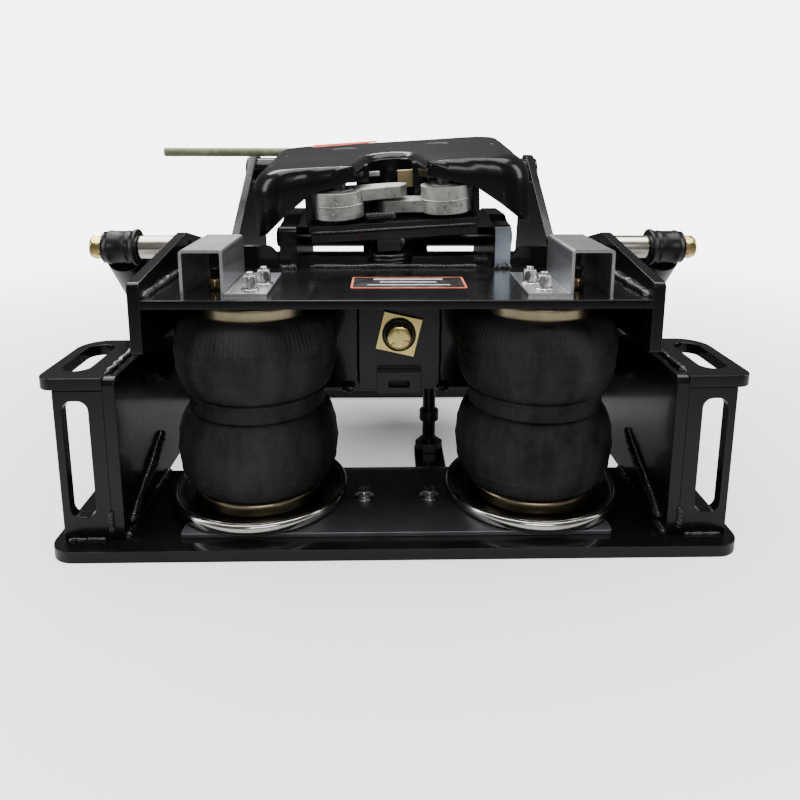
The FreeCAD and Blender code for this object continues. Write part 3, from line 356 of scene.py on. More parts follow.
BLACK = powder_coat()
PRESSED = powder_coat("pressed plate coat", 0.03, 0.006)
WELD = weld_coat()
BELLOWS = bellows_rubber()
BUSH = soft_rubber()
SATIN_ALUMINIUM = metal("dark satin aluminium", (0.2, 0.205, 0.22), 0.46, (0.25, 3, 1), 120, 0.25, 0.12)
MILL_ALUMINIUM = metal("mill aluminium", (0.66, 0.67, 0.69), 0.34, (6, 0.25, 6), 60, 0.22, 0.18)
CUT_ALUMINIUM = metal("sawn aluminium edge", (0.86, 0.87, 0.88), 0.3, (9, 1, 0.6), 160, 0.2, 0.4)
ROLLED = metal("rolled bright steel", (0.6, 0.585, 0.56), 0.17, (1, 1, 0.15), 35, 0.14, 0.05,
               (0.4, 0.38, 0.34))
PASSIVATED = metal("passivated bead steel", (0.4, 0.34, 0.22), 0.3, (1, 1, 0.2), 40, 0.16, 0.06,
                   (0.2, 0.17, 0.11))
# Dark steel: its colour is darkened to paint the dark reflection of the bags and the dim room in the roll
# dishes; the jaw pins and jaw spring wear it too.
DARK_STEEL_PAINTED_REFLECTION = metal("dark steel with painted reflection", (0.1, 0.1, 0.1), 0.3, (1, 1, 0.3), 50, 0.16, 0.06)
ZINC = metal("bright zinc", (0.74, 0.74, 0.72), 0.26, (1, 1, 1), 240, 0.16, 0.12)
NICKEL = metal("nickel spacer", (0.7, 0.66, 0.58), 0.24, (0.2, 2, 2), 130, 0.16, 0.1)
# A pale blue-grey metal, worn only by the strip on the right tower's rear edge.
PALE_STRIP_METAL = metal("pale blue-grey edge strip", (0.42, 0.47, 0.55), 0.3, (1, 1, 6), 90, 0.2, 0.2)
BRASS = metal("turned brass", (0.78, 0.6, 0.3), 0.25, (1, 1, 4), 200, 0.14, 0.1)
YELLOW = yellow_zinc()
CAST = cast_steel()
TAN = metal("tarnished lock bar", (0.5, 0.4, 0.22), 0.42, (1, 1, 3), 90, 0.2, 0.2)
OLIVE = paint("olive handle paint", (0.13, 0.14, 0.075), 0.5)
SPRING_BLACK = paint("black spring", (0.014, 0.014, 0.015), 0.32)
PRINT_BLACK = paint("label film", (0.012, 0.012, 0.013), 0.35)
PRINT_ORANGE = paint("label border ink", (0.85, 0.2, 0.08), 0.45)
PRINT_GREY = paint("label ink", (0.5, 0.5, 0.5), 0.45)
DECAL_RED = paint("red film", (0.85, 0.08, 0.03), 0.35)


# ---------------------------------------------------------------- mesh making

def add_piece(name, vertices, faces, material, body, slot, smooth=True):
    """A new piece that rides on a body and wears one finish."""
    mesh = bpy.data.meshes.new(name)
    mesh.from_pydata([tuple(v) for v in np.asarray(vertices, float)], [], [tuple(f) for f in faces])
    mesh.validate()
    tidy = bmesh.new()
    tidy.from_mesh(mesh)
    bmesh.ops.remove_doubles(tidy, verts=tidy.verts, dist=1e-6)
    bmesh.ops.recalc_face_normals(tidy, faces=tidy.faces)
    tidy.to_mesh(mesh)
    tidy.free()
    mesh.polygons.foreach_set("use_smooth", [smooth] * len(mesh.polygons))
    mesh.materials.append(material)
    piece = bpy.data.objects.new(name, mesh)
    bpy.context.scene.collection.objects.link(piece)
    if body:
        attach(piece, body)
    return piece


def grid_faces(rows, columns, wrap_columns=False):
    """Quads of a rows by columns grid of vertices, joined round where its columns wrap."""
    last_column = columns if wrap_columns else columns - 1
    i, j = np.meshgrid(np.arange(rows - 1), np.arange(last_column), indexing="ij")
    below, beside = i + 1, (j + 1) % columns
    corners = ((i, j), (below, j), (below, beside), (i, beside))
    return np.stack([row * columns + column for row, column in corners], -1).reshape(-1, 4).tolist()


def frame_of(axis):
    """Two unit vectors square to an axis, and the axis itself."""
    along = np.asarray(axis, float)
    along = along / np.linalg.norm(along)
    side = np.cross([0, 0, 1.0], along)
    if np.linalg.norm(side) < 1e-6:
        side = np.array([1.0, 0, 0])
    side = side / np.linalg.norm(side)
    return side, np.cross(along, side), along


def turned(name, profile, centre, axis, material, body, slot, segments, flats=None, ribs=None):
    """A turned piece: (radius, height) pairs carried round an axis.

    flats is (width, count): each radius is held inside that regular polygon, which makes a
    hexagon with a turned chamfer. ribs is a function of (angle, height, radius) to a new radius.
    """
    profile = np.asarray(profile, float)
    side, up, along = frame_of(axis)
    angle = np.arange(segments) * TURN / segments
    radius = np.repeat(profile[:, :1], segments, 1)
    if flats:
        width, count = flats
        bend = (angle + TURN / count / 2) % (TURN / count) - TURN / count / 2
        radius = np.minimum(radius, width / 2 / np.cos(bend)[None, :])
    if ribs:
        radius = ribs(angle[None, :], profile[:, 1:], radius)
    rim = np.cos(angle)[None, :, None] * side + np.sin(angle)[None, :, None] * up
    points = np.asarray(centre) + radius[..., None] * rim + profile[:, 1][:, None, None] * along
    rows = len(profile)
    vertices = points.reshape(-1, 3)
    faces = grid_faces(rows, segments, wrap_columns=True)
    for row in (0, rows - 1):
        if profile[row, 0] > 1e-6:
            faces.append([row * segments + k for k in range(segments)])
    return add_piece(name, vertices, faces, material, body, slot)


def lathe(name, profile, *where, **how):
    """A turned piece whose profile is given in millimetres."""
    return turned(name, np.array(profile) * MM, *where, **how)


def tube(name, path, radius, material, body, slot, sides):
    """A round section carried along a path, closed at both ends. radius is a number or one per point."""
    path = np.asarray(path, float)
    count = len(path)
    tangent = np.gradient(path, axis=0)
    tangent /= np.linalg.norm(tangent, axis=1)[:, None]
    side = frame_of(tangent[0])[0]
    sides_list = []
    for direction in tangent:
        side = side - direction * np.dot(side, direction)
        side = side / np.linalg.norm(side)
        sides_list.append(side)
    first = np.array(sides_list)
    second = np.cross(tangent, first)
    reach = np.broadcast_to(np.asarray(radius, float), (count,))[:, None, None]
    angle = np.arange(sides) * TURN / sides
    ring = np.cos(angle)[None, :, None] * first[:, None] + np.sin(angle)[None, :, None] * second[:, None]
    vertices = (path[:, None] + reach * ring).reshape(-1, 3)
    faces = grid_faces(count, sides, wrap_columns=True)
    faces.append(list(range(sides)))
    faces.append([(count - 1) * sides + k for k in range(sides)])
    return add_piece(name, vertices, faces, material, body, slot)


def prism(name, near, far, material, body, slot):
    """A flat-sided piece between two matching outlines."""
    count = len(near)
    faces = [list(range(count)), list(range(2 * count - 1, count - 1, -1))]
    faces += [[i, (i + 1) % count, (i + 1) % count + count, i + count] for i in range(count)]
    return add_piece(name, [*near, *far], faces, material, body, slot, False)


def weld(name, start, end, size, body, seed):
    """A hand-laid bead: a fat round section whose size swells at every ripple of the puddle."""
    start, end = np.asarray(start, float), np.asarray(end, float)
    length = np.linalg.norm(end - start)
    steps = max(12, int(length / 0.0007))
    t = np.linspace(0, 1, steps)
    rng = np.random.default_rng(seed)
    side, up, _ = frame_of(end - start)
    pitch = 0.0034 / max(length, 0.004)
    phase = (t / pitch + 0.25 * np.sin(TURN * t * 3)) % 1.0
    ripple = 0.78 + 0.3 * np.sqrt(np.clip(1 - phase, 0, 1))
    slow = np.interp(t, np.linspace(0, 1, 9), rng.uniform(0.9, 1.15, 9))
    ends = np.clip(np.minimum(t, 1 - t) / 0.03, 0.25, 1) ** 0.5
    sway = np.interp(t, np.linspace(0, 1, 14), rng.normal(0, 0.12, 14)) * size
    path = start + t[:, None] * (end - start) + sway[:, None] * side + 0.5 * sway[::-1, None] * up
    tube(name, path, size * ripple * slow * ends, WELD, body, "black_powder_coat", 10)


def coil(name, start, end, radius, wire, turns, material, body, slot, hooks=False):
    """A helix of wire about the line from start to end, its end turns closed up flat."""
    start, end = np.asarray(start, float), np.asarray(end, float)
    side, up, along = frame_of(end - start)
    length = np.linalg.norm(end - start)
    steps = int(turns * 22)
    t = np.linspace(0, 1, steps)
    climb = t if hooks else 0.5 - 0.5 * np.cos(math.pi * t) * (1 - 0.35 * np.sin(math.pi * t) ** 2)
    angle = TURN * turns * t
    path = (start + climb[:, None] * length * along
            + radius * (np.cos(angle)[:, None] * side + np.sin(angle)[:, None] * up))
    return tube(name, path, wire, material, body, slot, 8)


def eased(node, width, material=None, segments=2):
    """A CAD node with its sharp edges eased, as a merged and bevelled copy that stands for it."""
    source = frame["nodes"][node]
    mesh = source.data.copy()
    work = bmesh.new()
    work.from_mesh(mesh)
    bmesh.ops.remove_doubles(work, verts=work.verts, dist=1e-5)
    bmesh.ops.dissolve_degenerate(work, dist=1e-6, edges=work.edges)
    bmesh.ops.dissolve_limit(work, angle_limit=math.radians(1), verts=work.verts, edges=work.edges,
                             delimit={"NORMAL"})
    sharp = [edge for edge in work.edges
             if len(edge.link_faces) == 2 and edge.calc_face_angle() > math.radians(38)]
    bmesh.ops.bevel(work, geom=sharp, offset=width, offset_type="OFFSET", segments=segments, profile=0.5,
                    affect="EDGES", clamp_overlap=True)
    for face in work.faces:
        face.smooth = True
    work.to_mesh(mesh)
    work.free()
    mesh.materials.clear()
    mesh.materials.append(material or BLACK)
    piece = bpy.data.objects.new(node + "_finished", mesh)
    bpy.context.scene.collection.objects.link(piece)
    weighted = piece.modifiers.new("weighted normals", "WEIGHTED_NORMAL")
    weighted.keep_sharp = False
    weighted.weight = 80
    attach(piece, source["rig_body"])
    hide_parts(node)


def hex_bolt(name, centre, axis, flats, height, material, body, slot, washer=None, shank=None):
    """A chamfered hexagon head, with a round washer under it and a threaded end above it."""
    corner = flats / math.sqrt(3) * 1.01
    chamfer = height * 0.16
    low = 0.0
    profile = []
    if washer:
        wide, deep = washer
        profile += [(wide * 0.985, 0), (wide, deep * 0.2), (wide, deep * 0.8), (wide * 0.985, deep)]
        turned(name + "_washer", profile, centre, axis, material, body, slot, 48)
        low = deep
    base = np.asarray(centre) + frame_of(axis)[2] * low
    head = [(flats * 0.46, 0), (flats * 0.5, chamfer * 0.5), (corner, chamfer),
            (corner, height - chamfer * 1.1), (flats * 0.5, height - chamfer * 0.1),
            (flats * 0.47, height), (flats * 0.25, height), (0, height)]
    turned(name, head, base, axis, material, body, slot, 72, (flats, 6))
    if shank:
        radius, reach = shank
        turns = int(reach / 0.00125)
        rows = np.linspace(0, 1, turns * 4 + 1)
        groove = 0.93 + 0.07 * np.abs(2 * ((rows * turns) % 1) - 1)
        thread = [(radius * g, height * 0.9 + r * reach) for r, g in zip(rows, groove)]
        tip = height * 0.9 + reach + radius * 0.12
        thread += [(radius * 0.8, tip), (0, tip)]
        turned(name + "_thread", thread, base, axis, material, body, slot, 24)


# ---------------------------------------------------------------- the head's own tilted frame

RECORD = frame["record"]
JOINT = {joint["name"]: joint for joint in RECORD["behaviour"]["joints"]}
PIVOT = np.array(JOINT["head_pitch"]["pos_m"])
HEAD_Z = np.array(JOINT["jaw_left_swing"]["axis"], float)
HEAD_Y = np.array(JOINT["head_roll"]["axis"], float)
HEAD_X = np.cross(HEAD_Y, HEAD_Z)


def on_head(points):
    """Points given across, along and above the head's pivot, in millimetres, to the frame's metres."""
    points = np.asarray(points, float) * MM
    return PIVOT + points[..., :1] * HEAD_X + points[..., 1:2] * HEAD_Y + points[..., 2:3] * HEAD_Z


# ---------------------------------------------------------------- air springs and their seats

SIDES = (("left", -1), ("right", 1))


def spring_centre(side_name):
    """The middle of an air spring's foot, and the spring's height."""
    low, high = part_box(f"air_spring_{side_name}")
    return np.array([(low.x + high.x) / 2, (low.y + high.y) / 2, low.z]), high.z - low.z


GIRDLE = (86, 107)


def bellows_profile(height):
    """Two superellipse lobes with a band between them: radius against height, bottom bead to top one."""
    neck, girdle, lobe, rows = 60.5, 69.0, 84.8, 84
    pairs = []
    for low, high, low_radius, high_radius in ((0, GIRDLE[0], neck, girdle),
                                               (GIRDLE[1], height / MM, girdle, neck)):
        t = np.linspace(-math.pi / 2, math.pi / 2, rows)
        z = (low + high) / 2 + (high - low) / 2 * np.sign(np.sin(t)) * np.abs(np.sin(t)) ** 1.05
        inner = np.where(t < 0, low_radius, high_radius)
        radius = inner + (lobe - inner) * np.abs(np.cos(t)) ** 0.86
        pairs.append(np.stack([radius, z], 1))
    profile = np.vstack(pairs)
    return np.vstack([[0, profile[0, 1]], profile, [0, profile[-1, 1]]]) * MM


def bellows_ribs(height, seed):
    """Fine cord ribs on the two outer shoulders, raised mould lines, and soft creases by the girdle."""
    rng = np.random.default_rng(seed)
    phases = rng.uniform(0, TURN, 5)
    lines = np.array([0.12, 0.24, 0.33, 0.7, 0.79, 0.85]) * height

    def shape(angle, z, radius):
        share = z / height
        top = np.clip((share - 0.8) / 0.06, 0, 1) * np.clip((0.985 - share) / 0.02, 0, 1)
        bottom = 0.55 * np.clip((0.12 - share) / 0.04, 0, 1) * np.clip((share - 0.012) / 0.02, 0, 1)
        cord = np.abs(np.sin(angle * 55)) * 1.1 * MM
        raised = sum(np.exp(-((z - line) / (0.8 * MM)) ** 2) for line in lines) * 1.1 * MM
        girdle = np.exp(-((share - 0.51) / 0.09) ** 2)
        turn = (angle - 3.75 + math.pi) % TURN - math.pi
        seam = np.exp(-(turn / 0.012) ** 2) * 0.7 * MM * np.clip((0.72 - share) / 0.02, 0, 1)
        crease = sum(np.sin(angle * k + p + share * 30) for k, p in zip((3, 7, 11, 17, 23), phases))
        sag = 0.22 * MM * np.sin(angle * 2 + phases[0]) + 0.12 * MM * np.sin(angle * 5 + share * 9)
        keep = np.clip(radius / (50 * MM), 0, 1)
        return radius + keep * ((top + bottom) * cord + raised + girdle * crease * 0.34 * MM + seam + sag)

    return shape


def make_air_springs():
    """The bags with their girdle bands, the bead rings above, and the rolled dishes below."""
    for seed, (side_name, _) in enumerate(SIDES):
        centre, height = spring_centre(side_name)
        bag = turned(f"bellows_{side_name}", bellows_profile(height), centre, UP, BELLOWS, None,
                     "rubber", 440, ribs=bellows_ribs(height, seed + 3))
        band_z = centre[2] + sum(GIRDLE) / 2 * MM
        band = [(64, -10), (70.5, -10.4), (71.8, -8.5), (71.6, -3), (71.0, 3), (71.2, 5.6), (73.2, 6.6),
                (73.4, 8.8), (71.4, 10.2), (64, 10)]
        ring = lathe(f"girdle_{side_name}", band, (centre[0], centre[1], band_z), UP, BELLOWS, None,
                     "rubber", 160)
        for piece in (bag, ring):
            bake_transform(piece)
        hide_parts(f"air_spring_{side_name}")

        top = centre[2] + height
        crimp = [(52, -4), (60.6, -4.6), (62.6, -3.4), (63, -1.6), (62.8, 8.6), (63.2, 10.4), (62.6, 12.2),
                 (61.2, 13), (61, 16.8), (0, 16.8)]
        cap = lathe(f"bead_plate_{side_name}", crimp, (centre[0], centre[1], top), UP, PASSIVATED, "rocker",
                    "rolled_steel", 128)
        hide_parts("upper_bead_rings")

        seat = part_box(f"roll_plate_{side_name}")[0].z
        rim = [(86.6, 0.1), (90, 0.1), (93, 0.8), (94.6, 3), (95, 7), (94.8, 10), (93.6, 12.2), (91.6, 13),
               (89.9, 12.4), (89.1, 10.8), (88.4, 11.6), (87.4, 11.8), (86.6, 10.9), (86.2, 8.6), (86.4, 4)]
        plate = lathe(f"roll_rim_{side_name}", rim, (centre[0], centre[1], seat), UP, ROLLED, "base",
                      "rolled_steel", 160)
        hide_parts(f"roll_plate_{side_name}")
        # Painted reflection: the dish's steel is darkened in colour to stand for the dark bag and room it
        # reflects.
        dish = [(0, 0.2), (86.7, 0.2), (86.8, 8.4), (84, 6.8), (80, 5.6), (76, 5.2), (64, 5.2), (60, 6),
                (0, 6)]
        lathe(f"roll_dish_{side_name}", dish, (centre[0], centre[1], seat), UP, DARK_STEEL_PAINTED_REFLECTION, "base",
              "rolled_steel", 160)
        bead = [(58, 5.6), (66, 5.6), (67.4, 6.4), (68, 9), (67.8, 15), (68.4, 17.4), (67.6, 19.4),
                (65.4, 20.4), (62, 20.9), (0, 20.9)]
        lathe(f"lower_bead_{side_name}", bead, (centre[0], centre[1], seat), UP, PASSIVATED, "base",
              "rolled_steel", 160)


# ---------------------------------------------------------------- the pressed skid plate

HALF_WIDTH, REAR, FRONT, TOP = 167.0, -72.0, 200.0, 103.0
THROAT, THROAT_Y, MOUTH = 27.0, 10.0, 43.0
CORNER, CROWN = 40.0, 30.0
RAMP = ((43, 86), (95, 73.5), (162, 22), (167, 22))
SKIRT = ((-12, 22), (58, 74), (209, 78))
PIN_X, PIN_Y = 64, -51


def path_at(pieces, lengths):
    """Points along joined straight lines and arcs, at given distances. A piece is a function of 0..1."""
    sizes = np.array([size for size, _ in pieces])
    edges = np.concatenate([[0], np.cumsum(sizes)])
    points = np.zeros((len(lengths), 2))
    for i, (size, curve) in enumerate(pieces):
        inside = (lengths >= edges[i] - 1e-9) & (lengths <= edges[i + 1] + 1e-9)
        points[inside] = curve(np.clip((lengths[inside] - edges[i]) / size, 0, 1))
    return points


def straight(start, end):
    """A straight line, as its length and a function of 0..1."""
    start, end = np.array(start, float), np.array(end, float)
    return np.linalg.norm(end - start), lambda t: start + t[:, None] * (end - start)


def bend(centre, radius, start, end):
    """An arc from one angle to another, in degrees."""
    first, last = math.radians(start), math.radians(end)

    def curve(t):
        angle = first + t * (last - first)
        return np.array(centre) + radius * np.stack([np.cos(angle), np.sin(angle)], 1)

    return abs(last - first) * radius, curve


def make_skid_plate():
    """A C-shaped strip from the throat's lip to the skirts.

    The strip runs from the left of the throat's mouth round to the right. Across it the section
    rises from the throat's wall by a round lip, crosses the flat top, and falls by a round
    shoulder into a skirt whose low edge is deepest at the rear corners.
    """
    outer = [straight((-MOUTH - 2, REAR), (-HALF_WIDTH + CORNER, REAR)),
             bend((-HALF_WIDTH + CORNER, REAR + CORNER), CORNER, -90, -180),
             straight((-HALF_WIDTH, REAR + CORNER), (-HALF_WIDTH, FRONT - CORNER)),
             bend((-HALF_WIDTH + CORNER, FRONT - CORNER), CORNER, 180, 90),
             straight((-HALF_WIDTH + CORNER, FRONT), (0, FRONT))]
    inner = [straight((-MOUTH, REAR), (-THROAT, THROAT_Y)), bend((0, THROAT_Y), THROAT, 180, 90)]
    knots = np.concatenate([[0], np.cumsum([size for size, _ in outer])])
    inner_knots = [0, 40, 62, 98, 112, sum(size for size, _ in inner)]
    columns = 170
    run = np.interp(np.linspace(0, 1, columns), [0, 0.22, 0.5, 1], [0, 60, 180, knots[-1]])
    rim = path_at(outer, run)
    low_edge = np.where(rim[:, 1] < SKIRT[0][0], np.interp(-rim[:, 0], *zip(*RAMP)),
                        np.interp(rim[:, 1], *zip(*SKIRT)))
    low_edge = np.convolve(np.pad(low_edge, 2, mode="edge"), np.ones(5) / 5, mode="valid")
    rim[:, 1] += 1.3 * np.exp(-((rim[:, 0] + 101) / 12) ** 2) * (rim[:, 1] < REAR + 1)
    lip = path_at(inner, np.interp(run, knots, inner_knots))
    span = np.linalg.norm(rim - lip, axis=1)
    lip_radius = np.minimum(13, span * 0.4)
    shoulder = np.minimum(np.interp(run, [0, 20, 75, 160, 240], [14, 17, 26, 30, 26]), span * 0.55)

    quarter = np.linspace(0, math.pi / 2, 9)
    rows_a, rows_w = [], []
    drop = np.interp(lip[:, 1], [REAR, 0, THROAT_Y + 10], [19, 24, 42])
    for share in (1.0, 0.75, 0.5):
        rows_a.append(np.zeros(columns))
        rows_w.append(TOP - lip_radius - share * np.maximum(drop - lip_radius, 2))
    for angle in quarter:
        rows_a.append(lip_radius * (1 - math.cos(angle)))
        rows_w.append(TOP - lip_radius * (1 - math.sin(angle)))
    for share in np.linspace(0.06, 0.94, 16):
        rows_a.append(lip_radius + share * (span - lip_radius - shoulder))
        rows_w.append(np.full(columns, TOP))
    for angle in quarter:
        rows_a.append(span - shoulder + shoulder * math.sin(angle))
        rows_w.append(TOP - shoulder * (1 - math.cos(angle)))
    for share in np.linspace(0.2, 1, 6):
        wall = np.maximum(TOP - shoulder - low_edge, 1.0)
        rows_a.append(span + 0 * wall)
        rows_w.append(TOP - shoulder - share * wall)
    across, height = np.array(rows_a), np.array(rows_w)
    height = np.maximum(height, np.where(across > span * 0.6, low_edge, -999))
    share = across / span
    plan = lip[None] + share[..., None] * (rim - lip)[None]
    left = np.concatenate([plan, height[..., None]], 2)
    right = left[:, -2::-1] * np.array([-1, 1, 1])
    points = np.concatenate([left, right], 1)
    rows, total = points.shape[:2]
    piece = add_piece("skid_plate_pressed", on_head(points.reshape(-1, 3)), grid_faces(rows, total), PRESSED,
                      "head", "black_powder_coat")
    lift = sum((polygon.normal.dot(Vector(HEAD_Z)) for polygon in piece.data.polygons), 0.0)
    if lift < 0:
        piece.data.flip_normals()
    wall = piece.modifiers.new("sheet thickness", "SOLIDIFY")
    wall.thickness = 6.5 * MM
    wall.offset = -1
    edge = piece.modifiers.new("edge", "BEVEL")
    edge.width = 1.4 * MM
    edge.segments = 3
    edge.limit_method = "ANGLE"
    edge.angle_limit = math.radians(50)
    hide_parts("skid_plate")


def make_skid_details():
    """Arc slots and small round holes in the top, and a plain red film patch at the far edge."""
    angle = np.linspace(math.radians(15), math.radians(165), 40)
    for side_name, side in SIDES:
        arc = np.stack([side * 64 + 19 * np.cos(angle), 101 + 19 * np.sin(angle),
                        np.full_like(angle, TOP - 0.3)], 1)
        tube(f"arc_slot_{side_name}", on_head(arc), 1.0 * MM, SPRING_BLACK, "head", "black_powder_coat", 8)
        for i, (across, along) in enumerate(((141, 72), (158, 70))):
            lean = math.asin(max(across - HALF_WIDTH + CROWN, 0) / CROWN)
            spot = on_head((side * across, along, TOP - CROWN * (1 - math.cos(lean)) - 0.3))
            outward = HEAD_Z * math.cos(lean) + HEAD_X * side * math.sin(lean)
            hole = [(0, -1.2), (3.6, -1.2), (4.2, 0.3), (5.0, 0.45), (5.4, 0.0)]
            lathe(f"plate_hole_{side_name}_{i}", hole, spot, outward, SPRING_BLACK, "head",
                  "black_powder_coat", 40)
    share, along = np.meshgrid(np.linspace(0, 1, 30), np.linspace(0, 1, 12), indexing="ij")
    u = -112 + share * 94
    v = 156 + 22 * share + along * (34 - 14 * share)
    film = np.stack([u, v, np.full_like(u, TOP + 0.25)], -1)
    patch = add_piece("red_film_patch", on_head(film.reshape(-1, 3)), grid_faces(30, 12), DECAL_RED, "head",
                      "label")
    skin = patch.modifiers.new("film thickness", "SOLIDIFY")
    skin.thickness = 0.2 * MM


# ---------------------------------------------------------------- jaws and lock

def make_head_castings():
    """Jaws, lock, saddle and pins, and the painted release handle."""
    for side_name, side in SIDES:
        eased(f"jaw_{side_name}", 0.0024, CAST, 4)
        centre = on_head((side * PIN_X, PIN_Y, 57.2))
        angle = np.linspace(0, TURN, 90)
        wobble = 29.6 + 0.25 * np.sin(angle * 9)
        loop = centre + (wobble * np.cos(angle))[:, None] * MM * HEAD_X + (wobble * np.sin(angle))[
            :, None] * MM * HEAD_Y
        tube(f"flash_line_{side_name}", loop, 0.75 * MM, CAST, f"jaw_{side_name}", "cast_steel", 8)
        collar = [(10.2, 0), (17, 0), (17.6, 0.8), (16.8, 1.8), (12, 2.2), (10.3, 1.6)]
        lathe(f"jaw_collar_{side_name}", collar, on_head((side * PIN_X, PIN_Y, 72.8)), HEAD_Z, CAST,
              f"jaw_{side_name}", "cast_steel", 64)
    # Painted shade: the saddle wears the black coat so that the throat under the head reads as a dark cavity.
    eased("kingpin_saddle", 0.002, BLACK, 3)
    eased("lock_fork", 0.0012, CAST, 2)
    for name, low, high, metal_finish in (("lock_end", (8, 6, 62), (33, 12, 84), TAN),
                                          ("lock_bar", (-44, 7, 78), (-14, 12, 84), CAST)):
        block_on_head(name, low, high, metal_finish)
    eased("jaw_pins", 0.0006, DARK_STEEL_PAINTED_REFLECTION)
    eased("roll_pin", 0.0006, ZINC)
    eased("trunnion_block", 0.0012)
    eased("head_cradle", 0.001)
    eased("release_handle", 0.0006, OLIVE)
    grip = on_head(np.array([[-344, 215, 103.3], [-105, 215, 88.8]]))
    spots = grip[0] + np.linspace(0, 1, 60)[:, None] * (grip[1] - grip[0])
    swell = 6.6 * MM + 0.08 * MM * np.sin(np.linspace(0, 25, 60))
    tube("handle_grip", spots, swell, OLIVE, "handle", "handle_paint", 20)


def block_on_head(name, low, high, material):
    """A small plain block inside the throat, between two corners in the head's own axes."""
    corners = [[(x, y, z) for x, y in ((low[0], low[1]), (high[0], low[1]), (high[0], high[1]),
                                       (low[0], high[1]))] for z in (low[2], high[2])]
    piece = prism(name, *on_head(corners), material, "head", "cast_steel")
    edge = piece.modifiers.new("edge", "BEVEL")
    edge.width = 0.8 * MM
    edge.segments = 2


def make_springs():
    """The head's support coil, the small jaw return spring and the handle's return spring."""
    low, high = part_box("head_spring")
    centre = (np.array(low) + np.array(high)) / 2
    post = coil("head_coil", (centre[0], centre[1], low.z + 0.002), (centre[0], centre[1], high.z - 0.001),
                0.0216, 0.0025, 3.2, SPRING_BLACK, None, "spring_steel")
    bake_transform(post)
    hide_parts("head_spring")
    coil("jaw_spring", on_head((-32, -72, 43)), on_head((2, -72, 43)), 0.0042, 0.0007, 17, DARK_STEEL_PAINTED_REFLECTION, "head",
         "spring_steel", True)
    coil("handle_spring", (0.093, -0.139, 0.262), (0.109, -0.139, 0.262), 0.0055, 0.001, 8, SPRING_BLACK,
         "rocker", "spring_steel", True)


# ---------------------------------------------------------------- bolts, pins and shock fittings

def make_fasteners():
    """Bolts of the spring mount plate, studs of the channels, and the air fittings."""
    plate_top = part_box("spring_mount_plate")[1].z
    for side_name, side in SIDES:
        spot = (side * 0.0356, -0.248, plate_top)
        head = f"plate_bolt_{side_name}"
        hex_bolt(head, spot, UP, 0.013, 0.0075, ZINC, "base", "zinc_plate", (0.011, 0.0018))
        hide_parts("plate_bolts")
        channel_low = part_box(f"channel_cover_{side_name}")[0].z
        for i, (x, y) in enumerate(((0.146, -0.277), (0.137, -0.249))):
            name = f"stud_nut_{side_name}_{i}"
            hex_bolt(name, (side * x, y, channel_low + 0.003), UP, 0.013, 0.0135, ZINC, "rocker",
                     "zinc_plate", (0.0092, 0.0016), (0.0039, 0.0042))
            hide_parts("channel_studs")
        fitting = (side * 0.183, -0.26, channel_low)
        name = f"air_fitting_{side_name}"
        hex_bolt(name, fitting, UP, 0.014, 0.012, BRASS, "rocker", "brass")
        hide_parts("air_fittings")
        collet = [(4.9, 12), (5, 20), (6.4, 20.4), (6.8, 21.4), (6.8, 23), (6.2, 24), (4.2, 24.4), (3.2, 24),
                  (3.1, 15), (0, 15)]
        lathe(f"push_collet_{side_name}", collet, fitting, UP, SPRING_BLACK, "rocker", "brass", 48)


def make_centre_bolt():
    """Gold square washer, black collar, and a round head with three radial grade marks."""
    eased("square_washer", 0.0008, YELLOW)
    x, z = 0.004, 0.175
    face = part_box("square_washer")[0].y
    rear = (0, -1, 0)
    collar = [(10, 0), (19, 0), (20, 0.8), (20, 3.4), (18.6, 4.8), (16.5, 5.2), (15.4, 4.4), (10, 4.4)]
    ring = lathe("centre_collar", collar, (x, face, z), rear, SPRING_BLACK, "rocker", "black_powder_coat", 96)
    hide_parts("centre_bolt")
    cap = [(0, 3), (14, 3), (14.6, 4), (15.3, 5), (15.5, 7), (15.5, 14.4), (15, 16.2), (14, 17), (9, 17.4),
           (0, 17.5)]
    lathe("centre_cap", cap, (x, face, z), rear, YELLOW, "rocker", "yellow_zinc", 96)
    for i in range(3):
        angle = math.radians(100 + 120 * i)
        along = np.array([math.cos(angle), 0, math.sin(angle)])
        inner = np.array([x, face - 0.01745, z]) + along * 0.0065
        tube(f"grade_mark_{i}", inner + np.linspace(0, 1, 8)[:, None] * along * 0.0065, 0.0007, YELLOW,
             "rocker", "yellow_zinc", 8)
    nut = (x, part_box("rocker_cross_rear")[0].y + 0.016, z)
    hex_bolt("centre_nut", nut, (0, 1, 0), 0.03, 0.016, YELLOW, "rocker", "yellow_zinc")


def make_shock_fittings():
    """Top bolts, spacers and rubber boots of both shocks."""
    axis_y, axis_z = JOINT["shock_top_left_swing"]["pos_m"][1:]
    low_y, low_z = JOINT["shock_low_left_swing"]["pos_m"][1:]
    for side_name, side in SIDES:
        out = (side, 0, 0)
        head = f"top_bolt_{side_name}"
        hex_bolt(head, (side * 0.3455, axis_y, axis_z), out, 0.024, 0.0142, YELLOW, "rocker", "yellow_zinc")
        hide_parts("shock_top_bolts")
        sleeve = [(8, 0), (13, 0), (13.9, 0.8), (14, 3), (14, 44), (13.9, 46), (13, 46.7), (8, 46.7)]
        spacer = lathe(f"spacer_{side_name}", sleeve, (side * 0.2572, axis_y, axis_z), out, NICKEL, "rocker",
                       "zinc_plate", 72)
        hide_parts("shock_spacers")
        for end, y, z, body in (("top", axis_y, axis_z, f"shock_top_{side_name}"),
                                ("low", low_y, low_z, f"shock_low_{side_name}")):
            boot = [(9, -0.4), (19, -0.4), (21.4, 0.4), (22, 2), (21.4, 4.4), (19.8, 5.2), (19.6, 10),
                    (20.2, 11), (20.2, 13), (19.6, 14), (19.6, 30), (20.4, 31.2), (20.4, 33.6), (19.4, 35),
                    (18.8, 38.8), (16, 40.4), (9, 40.4)]
            lathe(f"{end}_boot_{side_name}", boot, (side * 0.3044, y, z), out, BUSH, body, "rubber", 72)


# ---------------------------------------------------------------- plates, channels and label

